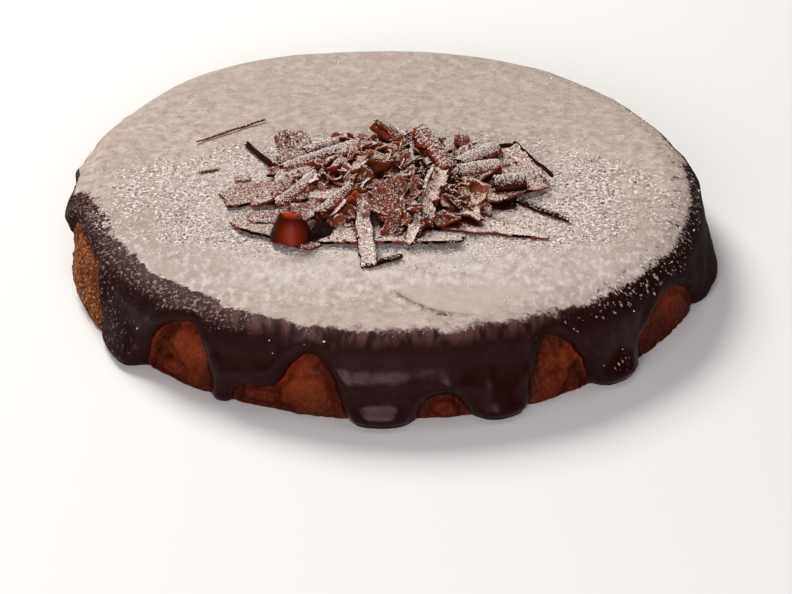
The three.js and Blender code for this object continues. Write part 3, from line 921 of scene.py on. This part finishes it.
def clear_above(tree, places):
    """Which places, in millimetres, have nothing close above them."""
    return np.array([tree.ray_cast(Vector(place) * MM, UP, 0.05)[0] is None for place in places])


def sprinkling(places, normals):
    """How thickly grains lie on the icing: mostly beside the heap, and a few on the right shoulder."""
    near = 1 - smooth(np.hypot(places[:, 0] / 2, places[:, 1] + 15), 28, 60)
    patch = near * (0.9 + 0.8 * noise(places, 24, 71) + 0.5 * noise(places, 8, 72))
    flat = smooth(normals[:, 2], 0.86, 0.99)
    shoulder = 0.026 * smooth(normals[:, 2], 0.1, 0.9) * (0.06 + smooth(places[:, 0], 40, 100))
    return np.clip(patch, 0.006, 2) * flat + shoulder * (places[:, 2] > 6)


def upward(_, normals):
    """How thickly grains lie on a shaving: on what looks up."""
    return smooth(normals[:, 2], 0.0, 0.9)


def make_sugar(icing, shavings, tree):
    """Grains and clumps of icing sugar on the icing and on the shavings."""
    chance = np.random.default_rng(9)
    places, normals = scatter_on(icing, ICING_GRAINS, 7, sprinkling)
    clear = clear_above(tree, places)
    places, normals = places[clear], normals[clear]
    sizes = 0.18 + 0.4 * chance.uniform(0, 1, len(places)) ** 2
    sunk = places + normals * sizes[:, None] * 0.2
    on_icing = beads("sugar_on_icing", sunk, sizes, stretch=1.3, flatness=0.6, seed=10)
    lots = []
    for piece, count in zip(shavings, HEAP_GRAINS):
        places, normals = scatter_on(piece, count, count, upward)
        lots.append((places + normals * 0.05)[clear_above(tree, places + normals * 0.3)])
    places = np.concatenate(lots)
    sizes = 0.12 + 0.26 * chance.uniform(0, 1, len(places)) ** 2
    on_shavings = beads("sugar_on_shavings", places, sizes, stretch=1.3, flatness=0.7, seed=12)
    return on_icing, on_shavings


# Materials


class Value:
    """What a node gives. Arithmetic with it adds the nodes that do it."""

    def __init__(self, paint, socket):
        self.paint = paint
        self.socket = socket

    def __add__(self, other):
        return self.paint.math("ADD", self, other)

    def __sub__(self, other):
        return self.paint.math("SUBTRACT", self, other)

    def __rsub__(self, other):
        return self.paint.math("SUBTRACT", other, self)

    def __mul__(self, other):
        return self.paint.math("MULTIPLY", self, other)

    def __pow__(self, other):
        return self.paint.math("POWER", self, other)

    def __abs__(self):
        return self.paint.math("ABSOLUTE", self)


class Paint:
    """A node material, built up with short calls."""

    def __init__(self, name):
        self.material = bpy.data.materials.new(name)
        self.material.use_nodes = True
        self.tree = self.material.node_tree
        self.shader = self.tree.nodes["Principled BSDF"]

    def put(self, value, socket):
        """Links a value to a socket, or sets it there."""
        if isinstance(value, Value):
            self.tree.links.new(value.socket, socket)
        else:
            socket.default_value = value

    def node(self, kind, output, inputs=(), **settings):
        """What a new node gives, with values for its inputs by name or number."""
        made = self.tree.nodes.new(kind)
        for key, value in settings.items():
            setattr(made, key, value)
        for key, value in dict(inputs).items():
            self.put(value, made.inputs[key])
        return Value(self, made.outputs[output])

    def set(self, **values):
        """Sets inputs of the shader."""
        for key, value in values.items():
            self.put(value, self.shader.inputs[key.replace("_", " ")])

    def place(self):
        """Where a point lies on the object, in metres."""
        return self.node("ShaderNodeTexCoord", "Object")

    def attribute(self, name, output):
        return self.node("ShaderNodeAttribute", output, attribute_name=name)

    def up(self):
        """Height of the normal: 1 where the surface looks straight up."""
        return self.part(self.node("ShaderNodeNewGeometry", "Normal"), "Z")

    def part(self, vector, axis):
        return self.node("ShaderNodeSeparateXYZ", axis, {0: vector})

    def away(self, vector, spot):
        """Distance from a spot."""
        return self.node("ShaderNodeVectorMath", "Value", {0: vector, 1: spot}, operation="DISTANCE")

    def scaled(self, vector, scale):
        return self.node("ShaderNodeVectorMath", 0, {0: vector, 1: scale}, operation="MULTIPLY")

    def chance(self, number):
        """A random number from 0 to 1 for each number."""
        return self.node("ShaderNodeTexWhiteNoise", "Value", {"W": number}, noise_dimensions="1D")

    def noise(self, vector, size_mm, detail=3, rough=0.55):
        """Noise from 0 to 1 with lumps of about that size."""
        inputs = {"Vector": vector, "Scale": 1 / (size_mm * MM), "Detail": detail, "Roughness": rough}
        return self.node("ShaderNodeTexNoise", "Fac", inputs)

    def cells(self, vector, size_mm):
        """Distance to the nearest of scattered points, in cells of about that size."""
        return self.node("ShaderNodeTexVoronoi", "Distance", {"Vector": vector, "Scale": 1 / (size_mm * MM)})

    def span(self, value, low, high, to_low=0.0, to_high=1.0):
        """A smooth step from one result to another while the value goes from low to high."""
        inputs = enumerate((value, low, high, to_low, to_high))
        return self.node("ShaderNodeMapRange", 0, inputs, interpolation_type="SMOOTHSTEP")

    def math(self, operation, a, b=0.0):
        return self.node("ShaderNodeMath", 0, {0: a, 1: b}, operation=operation)

    def larger(self, a, b):
        return self.math("MAXIMUM", a, b)

    def smaller(self, a, b):
        return self.math("MINIMUM", a, b)

    def mix(self, share, a, b):
        """A share of the way from one colour to another."""
        a, b = (colour if isinstance(colour, Value) else (*colour, 1) for colour in (a, b))
        return self.node("ShaderNodeMix", 2, {0: share, 6: a, 7: b}, data_type="RGBA")

    def bump(self, height, distance_mm, strength=1.0, below=None):
        """A normal tilted by that height, on top of the normal below."""
        inputs = {"Height": height, "Distance": distance_mm * MM, "Strength": strength}
        if below is not None:
            inputs["Normal"] = below
        return self.node("ShaderNodeBump", 0, inputs)


def sponge_paint():
    """Moist crumb, darker at the foot as painted shade, with painted shade in the deep hollows, pits and
    pores and painted light on the crests, toasted and more granular on the left.
    """
    paint = Paint("sponge_crumb")
    place = paint.place()
    toasted = paint.span(paint.part(place, "X"), -0.08, -0.105)
    # Painted shade: darker towards the foot
    low = paint.span(paint.part(place, "Z"), 0.001, 0.014, 0.65, 0.0)
    blotch = paint.span(paint.noise(place, 9, 3), 0.33, 0.68)
    tone = paint.mix(blotch, (0.062, 0.0062, 0.0009), (0.132, 0.0155, 0.0024))
    # Painted light on the crests of the relief, painted shade in its deep hollows
    relief = paint.attribute("relief", "Fac")
    tone = paint.mix(paint.span(relief, -0.2, 1.3, 0.0, 0.55), tone, (0.17, 0.026, 0.004))
    tone = paint.mix(paint.span(relief, -0.5, -2.4, 0.0, 0.8), tone, (0.03, 0.003, 0.0006))
    tone = paint.mix(low, tone, (0.03, 0.003, 0.0007))
    tone = paint.mix(paint.span(toasted, 0.0, 1.0, 0.0, 0.5), tone, (0.22, 0.062, 0.015))
    fine = paint.noise(place, 1.1, 3, 0.65)
    granular = paint.span(toasted, 0.0, 1.0, 0.14, 1.0)
    glint = paint.span(fine, 0.5, 0.7) * granular
    tone = paint.mix(glint, tone, paint.mix(toasted, (0.36, 0.1, 0.028), (0.58, 0.25, 0.09)))
    # Painted shade in the pits and pores of the crumb
    pit_shade = paint.span(fine, 0.47, 0.32) * granular
    pores = paint.span(paint.cells(place, 2.0), 0.34, 0.1) * granular
    tone = paint.mix(paint.larger(pit_shade, pores), tone, (0.04, 0.006, 0.002))
    paint.set(Base_Color=tone, Roughness=paint.span(fine, 0.3, 0.7, 0.8, 0.5))
    paint.set(Normal=paint.bump(fine, 0.45, 0.6), Specular_IOR_Level=0.1)
    paint.set(Subsurface_Weight=0.18, Subsurface_Radius=(1.0, 0.35, 0.15), Subsurface_Scale=0.002)
    return paint.material


def sugar_film(paint, cover, specks, coarse, chocolate, tones, white, grain_mm, run, speck_mm):
    """Colour of chocolate under sugar. The film thins out where it covers less, as a stipple where
    it is coarse, and brighter specks lie on it. Also gives the share that is covered."""
    place = paint.place()
    grain = paint.span(paint.noise(place, grain_mm, 3, 0.7), 0.3, 0.7)
    grain = (grain - 0.5) * coarse
    bare = paint.span(coarse, 0.4, 1.0, 0.1, 0.42)
    closed = paint.span(coarse, 0.4, 1.0, 1.25, 0.76)
    film = paint.span(cover * 1.3 - grain, bare, closed)
    film *= paint.span(cover, 0.0, 0.12)
    haze = paint.mix(paint.span(paint.noise(place, 3.6, 5, 0.78), 0.3, 0.7), *tones)
    haze = paint.mix(paint.span(cover, 0.15, 0.8), (0.3, 0.185, 0.165), haze)
    level = paint.span(specks, 0.0, 1.0, 0.8, 0.45)
    spots = paint.span(paint.noise(run, speck_mm, 1.5, 0.6) - level, 0.0, 0.12)
    colour = paint.mix(spots, paint.mix(film, chocolate, haze), white)
    return colour, paint.larger(film, spots)


def icing_cover(paint, place, up, most):
    """Share of the pale film on the icing: sugar, its pale tone partly a painted sheen. It is nearly closed
    on the top, ends ragged at the shoulder in front and reaches over it behind, and is a thin stipple on the
    left shoulder and side."""
    x, y = paint.part(place, "X"), paint.part(place, "Y")
    behind = paint.span(y, -0.018, 0.014) * paint.span(x, 0.07, 0.02)
    edge = paint.span(paint.noise(place, 24, 4, 0.75), 0.3, 0.7, 0.95, 1.0)
    edge -= paint.span(x, 0.03, 0.11, 0.0, 0.12)
    edge += paint.span(x, -0.015, -0.05, 0.0, 0.075)
    edge -= behind * 0.4
    full = paint.smaller(edge + 0.05, 0.995)
    cover = paint.span(up, edge - 0.1, full) * most
    blotch = paint.noise(paint.scaled(place, (1, 1, 0.6)), 5, 3, 0.65)
    tilted = paint.span(up, 0.998, 0.98) * paint.span(up, 0.84, 0.92)
    tilted *= paint.span(behind, 0.0, 1.0, 1.0, 0.2)
    cover += paint.span(blotch, 0.3, 0.7, -0.4, 0.4) * tilted
    side = paint.span(x, -0.075, -0.11, 0.0, 0.2) * paint.span(up, -0.3, 0.15)
    shoulder = paint.span(x, -0.03, -0.06, 0.0, 0.24) * paint.span(up, 0.5, 0.85)
    cover = paint.larger(cover, paint.larger(side, shoulder))
    middle = paint.span(paint.away(paint.scaled(place, (1, 1, 0)), (0, 0, 0)), 0.1, 0.094)
    return paint.larger(cover, middle * most)


def icing_sugar_and_sheen_tones(paint, place, past_ridge):
    """The two tones that the sugar film on the icing varies between, its pale tone partly a painted sheen.
    It is brightest in front of the heap, with painted light there over the heap's shadow, lumpy there, and
    browner to the sides, behind and inside the ridge in front."""
    x, y = paint.part(place, "X"), paint.part(place, "Y")
    outer = paint.span(abs(y + 0.01), 0.04, 0.085, 0.0, 0.22)
    plain = paint.mix(paint.span(y, 0.0, 0.05), (0.455, 0.386, 0.342), (0.322, 0.266, 0.23))
    wavy = paint.noise(paint.scaled(place, (1, 1.5, 1)), 7, 3, 0.55)
    # Heaped sugar in front of the heap, made brighter as painted light where the heap's shadow falls
    heaped_and_lit = paint.span(y, -0.045, -0.052) * paint.span(y, -0.09, -0.068)
    heaped_and_lit *= paint.span(paint.noise(place, 8, 3), 0.35, 0.62, 0.15, 0.8)
    aside = paint.larger(paint.span(x, -0.035, -0.08, 0.0, 0.62), paint.span(x, 0.04, 0.08, 0.0, 0.45))
    aside *= paint.span(y, -0.008, -0.035)
    inside = paint.span(past_ridge, 0.001, -0.004, 0.0, 0.6) * paint.span(y, -0.074, -0.083)
    lumps = paint.noise(paint.scaled(place, (1, 0.5, 1)), 2.4, 3, 0.6)
    lumpy = paint.span(y, -0.02, -0.05) * paint.span(y, -0.1, -0.085)
    lumpy *= paint.span(inside, 0.0, 0.5, 1.0, 0.15)
    tones = (0.31, 0.241, 0.199), (0.6, 0.513, 0.447)
    for share, colour in (
        (outer, plain),
        (paint.span(wavy, 0.36, 0.64, 0.0, 0.42), (0.415, 0.335, 0.282)),
        (heaped_and_lit, (0.59, 0.53, 0.485)),
        (aside, (0.335, 0.264, 0.22)),
        (inside, (0.5, 0.415, 0.357)),
        (lumpy * paint.span(lumps, 0.48, 0.66, 0.0, 0.5), (0.72, 0.66, 0.61)),
        (lumpy * paint.span(lumps, 0.48, 0.3, 0.0, 0.6), (0.37, 0.3, 0.255)),
    ):
        tones = [paint.mix(share, tone, colour) for tone in tones]
    return tones


def icing_paint():
    """Dark poured chocolate. Sugar lies on the top as a pale film, its tone partly a painted sheen, denser
    and more granular beside the heap, and thins out to a stipple over the left shoulder."""
    paint = Paint("chocolate_icing")
    place = paint.place()
    x, y = paint.part(place, "X"), paint.part(place, "Y")
    up = paint.up()

    # Sugar sprinkled beside the heap, and the film that covers the rest of the top, its pale tone partly a
    # painted sheen
    beside = paint.away(paint.scaled(place, (0.5, 1, 0)), (0.0, -0.015, 0.0))
    patchy = paint.span(paint.noise(place, 16, 3), 0.3, 0.7, 0.6, 1.15)
    sprinkled = paint.span(beside, 0.078, 0.035) * patchy
    sprinkled *= paint.span(y, -0.076, -0.042, 0.15, 1.0)
    cover = icing_cover(paint, place, up, paint.span(sprinkled, 0.0, 1.0, 1.05, 0.64))
    ridge_x, ridge_y, ridge_radius = (size * MM for size in SPREAD_ARCS[0][:3])
    past_ridge = paint.away(paint.scaled(place, (1, 1, 0)), (ridge_x, ridge_y, 0.0)) - ridge_radius
    # Painted shade along the front ridge, by thinning the film there
    ridge_shade = paint.span(abs(past_ridge), 0.0028, 0.0003, 0.0, 0.5)
    ridge_shade *= paint.span(x, 0.04, 0.015)
    cover -= ridge_shade * paint.span(y, -0.079, -0.085)

    # Chocolate with a thin drawn-out veil of sugar over the shoulder in front
    streak = paint.noise(paint.scaled(place, (1, 1, 0.3)), 9, 4)
    chocolate = paint.mix(streak, (0.0065, 0.0009, 0.0005), (0.016, 0.0028, 0.0018))
    drawn = paint.noise(paint.scaled(place, (1, 0.4, 0.25)), 2.6, 2, 0.5)
    veil = paint.span(drawn, 0.36, 0.7, 0.05, 1.0) * paint.span(up, 0.62, 0.97)
    veil *= paint.span(x, 0.085, 0.03) * paint.span(x, -0.08, -0.04, 0.3, 1.0)
    chocolate = paint.mix(veil, chocolate, (0.1, 0.048, 0.041))

    # Specks on the film and stray ones on the right shoulder
    flat = paint.span(sprinkled, 0.0, 1.0, 0.3, 0.76) * paint.span(up, 0.8, 0.97)
    stray = paint.span(x, 0.03, 0.085, 0.2, 0.6) * paint.span(up, 0.2, 0.6)
    stray *= paint.span(up, 0.99, 0.95, 0.3, 1.0)
    coarse = paint.span(abs(x - 0.015), 0.03, 0.075, 0.5, 1.0)
    coarse = paint.larger(coarse, paint.span(sprinkled, 0.0, 0.5))
    white = paint.mix(paint.span(up, 0.8, 0.97), (0.45, 0.36, 0.32), (0.8, 0.73, 0.67))
    tones = icing_sugar_and_sheen_tones(paint, place, past_ridge)
    colour, sugared = sugar_film(paint, cover, paint.larger(flat, stray), coarse, chocolate,
                                 tones, white, 1.2, paint.scaled(place, (1, 1, 0.55)), 1.4)

    # Glossy where it is bare, low and in front
    gloss = paint.span(paint.noise(place, 4, 3), 0.3, 0.7, 0.22, 0.36)
    matt = paint.larger(sugared, paint.larger(paint.span(cover, 0.0, 0.3), veil))
    rough = gloss + matt * 0.35
    rough = paint.larger(rough, paint.span(abs(x), 0.075, 0.105, 0.0, 0.85))
    rough = paint.larger(rough, paint.span(paint.part(place, "Z"), 0.0185, 0.0215, 0.0, 0.6))
    paint.set(Base_Color=colour, Roughness=rough)
    paint.set(Specular_IOR_Level=0.13, Specular_Tint=(1, 0.68, 0.76, 1))
    ripple = paint.bump(paint.noise(place, 6, 3), 0.5, 0.3)
    paint.set(Normal=paint.bump(sugared, 0.25, 0.4, ripple))
    return paint.material


def barrel_painted_glow(paint, place):
    """The upright roll: a painted glow, red in front where light would show through it, and brighter painted
    light at its mouth.
    """
    front = paint.span(paint.away(place, BARREL_PAINTED_GLOW), 0.0075, 0.001)
    mouth = paint.span(paint.away(place, BARREL_MOUTH_PAINTED_GLOW), 0.006, 0.002)
    lit = paint.mix(front, (0.035, 0.0045, 0.0016), (0.2, 0.016, 0.0035))
    return paint.mix(mouth, lit, (0.5, 0.09, 0.03))


def shaving_paint(name, dark, light, most_golden):
    """Streaked chocolate with painted shade on its broken edges, on bare and narrow shavings and in the
    gaps, and dusted where it lies open.
    The small shavings vary from red to golden, by that share at most."""
    paint = Paint(name)
    place = paint.place()
    sheet_place = paint.attribute("sheet", "Vector")
    number = paint.part(sheet_place, "Z")

    # Chocolate
    streak = paint.noise(paint.scaled(sheet_place, (0.00008, 0.001, 0.01)), 0.9, 4)
    broad = paint.noise(place, 6, 3)
    own = paint.chance(number)
    small = paint.span(number, FIRST_GOLDEN - 1.0, FIRST_GOLDEN, 0.0, most_golden)
    golden = paint.span(own, 0.2, 0.9) * small
    chocolate = paint.mix(streak, dark, paint.mix(golden, light, (0.46, 0.165, 0.062)))
    chocolate = paint.mix(paint.span(broad, 0.4, 0.75), chocolate, dark)
    # Painted shade in the gaps, where little of the sky is open, weaker on the small golden shavings
    deepest_painted_shade = paint.span(small, 0.0, 0.9, 0.85, 0.4)
    painted_gap_shade = paint.span(paint.attribute("open", "Fac"), 0.35, 0.0, 0.0, deepest_painted_shade)
    chocolate = paint.mix(painted_gap_shade, chocolate, (0.008, 0.002, 0.0013))
    # The upright roll takes its painted glow in place of the chocolate
    barrel = paint.span(number, 0.4, 0.5, 1.0, 0.0)
    chocolate = paint.mix(barrel, chocolate, barrel_painted_glow(paint, place))
    # Painted shade from the sheets: on broken edges, and all over on bare, narrow and deeply ribbed shavings
    shade = paint.attribute("shade", "Fac")
    chocolate = paint.mix(shade, chocolate, (0.009, 0.0024, 0.0015))

    # Sugar, with cocoa in it on the warm patches
    # Less sugar shows where the painted shade lies
    bright = 1.0 - shade * 0.8
    dust = paint.attribute("dust", "Fac") * bright
    chocolate = paint.mix(paint.span(dust, 0.3, 0.8, 0.0, 0.75), chocolate, (0.17, 0.05, 0.029))
    cover = dust**1.7 * 0.72
    over = paint.scaled(place, (1, 1, 0))
    near = [paint.span(paint.away(over, spot), 0.017, 0.007) for spot in WARM_PATCHES]
    warm = paint.larger(*near) * paint.span(broad, 0.3, 0.6, 0.4, 1.0)
    tones = (paint.mix(warm, (0.33, 0.22, 0.165), (0.35, 0.145, 0.062)),
             paint.mix(warm, (0.7, 0.59, 0.51), (0.56, 0.35, 0.22)))
    white = paint.mix(warm, (0.92, 0.85, 0.78), (0.86, 0.7, 0.55))
    run = paint.scaled(sheet_place, (0.001, 0.0007, 0.1))
    colour, sugared = sugar_film(paint, cover, dust * 0.86, 1.0, chocolate, tones, white, 0.9, run, 0.8)
    gloss = paint.span(streak, 0.3, 0.7, 0.28, 0.42)
    paint.set(Base_Color=colour, Roughness=gloss + paint.larger(sugared, shade) * 0.55)
    paint.set(Specular_IOR_Level=0.07, Specular_Tint=(1, 0.8, 0.75, 1))
    paint.set(Normal=paint.bump(sugared, 0.25, 0.5, paint.bump(streak, 0.3, 0.5)))
    glow = (1.0 - paint.larger(sugared, painted_gap_shade)) * bright
    paint.set(Subsurface_Weight=glow * 0.5)
    paint.set(Subsurface_Radius=(1.0, 0.2, 0.06), Subsurface_Scale=0.003)
    return paint.material


def sugar_paint(name, dull, bright):
    """Loose grains."""
    paint = Paint(name)
    tone = paint.mix(paint.noise(paint.place(), 1.2, 2), dull, bright)
    paint.set(Base_Color=tone, Roughness=0.7, Specular_IOR_Level=0.25)
    paint.set(Subsurface_Weight=0.2, Subsurface_Radius=(1.0, 0.9, 0.8), Subsurface_Scale=0.0004)
    return paint.material


def floor_paint():
    """A plain pale floor."""
    paint = Paint("pale_floor")
    tone = paint.mix(paint.noise(paint.place(), 400, 2), (0.80, 0.79, 0.77), (0.84, 0.83, 0.81))
    paint.set(Base_Color=tone, Roughness=0.6, Specular_IOR_Level=0.2)
    return paint.material


# Stage

FLOOR_REACH = 4000
FLOOR_LEVEL = -0.4
CAMERA_SPOT = (0.0021, -1.0, 0.5584)  # metres
CAMERA_TILT = 60.03  # degrees up from straight down
CAMERA_LENS = 140.98  # on a sensor 36 wide


def area_light(name, spot, aim, size, watts, colour):
    """A soft oval light at a spot, turned towards an aim, in metres."""
    light = bpy.data.lights.new(name, "AREA")
    light.shape = "ELLIPSE"
    light.size, light.size_y = size
    light.energy = watts
    light.color = colour
    lamp = bpy.data.objects.new(name, light)
    lamp.location = spot
    lamp.rotation_euler = (Vector(aim) - Vector(spot)).to_track_quat("-Z", "Y").to_euler()
    bpy.context.scene.collection.objects.link(lamp)


def make_stage():
    """The floor, just below the base, and soft studio light."""
    ends = ((-1, -1), (1, -1), (1, 1), (-1, 1))
    corners = np.array([(FLOOR_REACH * x, FLOOR_REACH * y, FLOOR_LEVEL) for x, y in ends])
    floor = mesh_object("floor", corners, [np.array([(0, 1, 2, 3)])])
    floor.data.materials.append(floor_paint())
    world = bpy.data.worlds.new("studio")
    world.use_nodes = True
    background = world.node_tree.nodes["Background"]
    background.inputs["Color"].default_value = (1.0, 0.985, 0.965, 1)
    background.inputs["Strength"].default_value = 0.115
    bpy.context.scene.world = world
    area_light("key", (-0.6, 1.0, 1.1), (0, 0, 0.02), (0.7, 0.7), 27, (1, 0.985, 0.96))
    area_light("top", (0.1, 0.1, 1.5), (0, 0, 0.03), (0.8, 0.8), 2.5, (1, 0.99, 0.98))
    area_light("front", (-0.08, -1.28, 0.56), (0, 0, 0.02), (1.25, 0.5), 14, (1, 0.94, 1))
    bpy.context.scene.view_settings.view_transform = "Standard"


def make_camera():
    """A view from a metre in front, looking down about 30 degrees."""
    data = bpy.data.cameras.new("camera")
    data.sensor_width = 36
    data.lens = CAMERA_LENS
    camera = bpy.data.objects.new("camera", data)
    camera.location = CAMERA_SPOT
    camera.rotation_euler = (math.radians(CAMERA_TILT), 0, 0)
    bpy.context.scene.collection.objects.link(camera)
    bpy.context.scene.camera = camera


def dress(piece, material):
    """Gives a piece its material and its slot, on the one body."""
    piece.data.materials.clear()
    piece.data.materials.append(material)
    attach(piece, "root")


def main():
    make_camera()
    make_stage()
    sponge = make_sponge()
    icing = make_icing()
    rolls, sheets, flakes = make_shavings()
    core = make_core()
    chips = make_chips(tree_of([icing, core, rolls, sheets, flakes]))
    heap = [rolls, sheets, flakes, core, chips]
    cover = tree_of(heap)
    for piece in heap:
        dust_attribute(piece, cover, FLAKE_LEAN if piece is flakes else DUST_LEAN)
    sugar_on_icing, sugar_on_shavings = make_sugar(icing, heap, cover)
    dress(sponge, sponge_paint())
    dress(icing, icing_paint())
    shaved = shaving_paint("shaved_chocolate", (0.07, 0.009, 0.003), (0.34, 0.071, 0.031), 0.9)
    for piece in (rolls, sheets, flakes):
        dress(piece, shaved)
    # A darker copy of the shaved chocolate, as painted shade on the heap's core under the shavings; the
    # chips share it
    shaded_crumbs = shaving_paint("shaded_chocolate_crumbs", (0.018, 0.0035, 0.002), (0.07, 0.012, 0.0055), 0.0)
    for piece in (core, chips):
        dress(piece, shaded_crumbs)
    white = sugar_paint("icing_sugar", (0.66, 0.58, 0.51), (0.86, 0.79, 0.72))
    dress(sugar_on_icing, white)
    browner = sugar_paint("sugar_with_cocoa", (0.66, 0.56, 0.48), (0.88, 0.81, 0.74))
    dress(sugar_on_shavings, browner)
    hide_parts("sponge")
    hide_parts("icing")
    for piece in heap:
        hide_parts("shavings")


main()
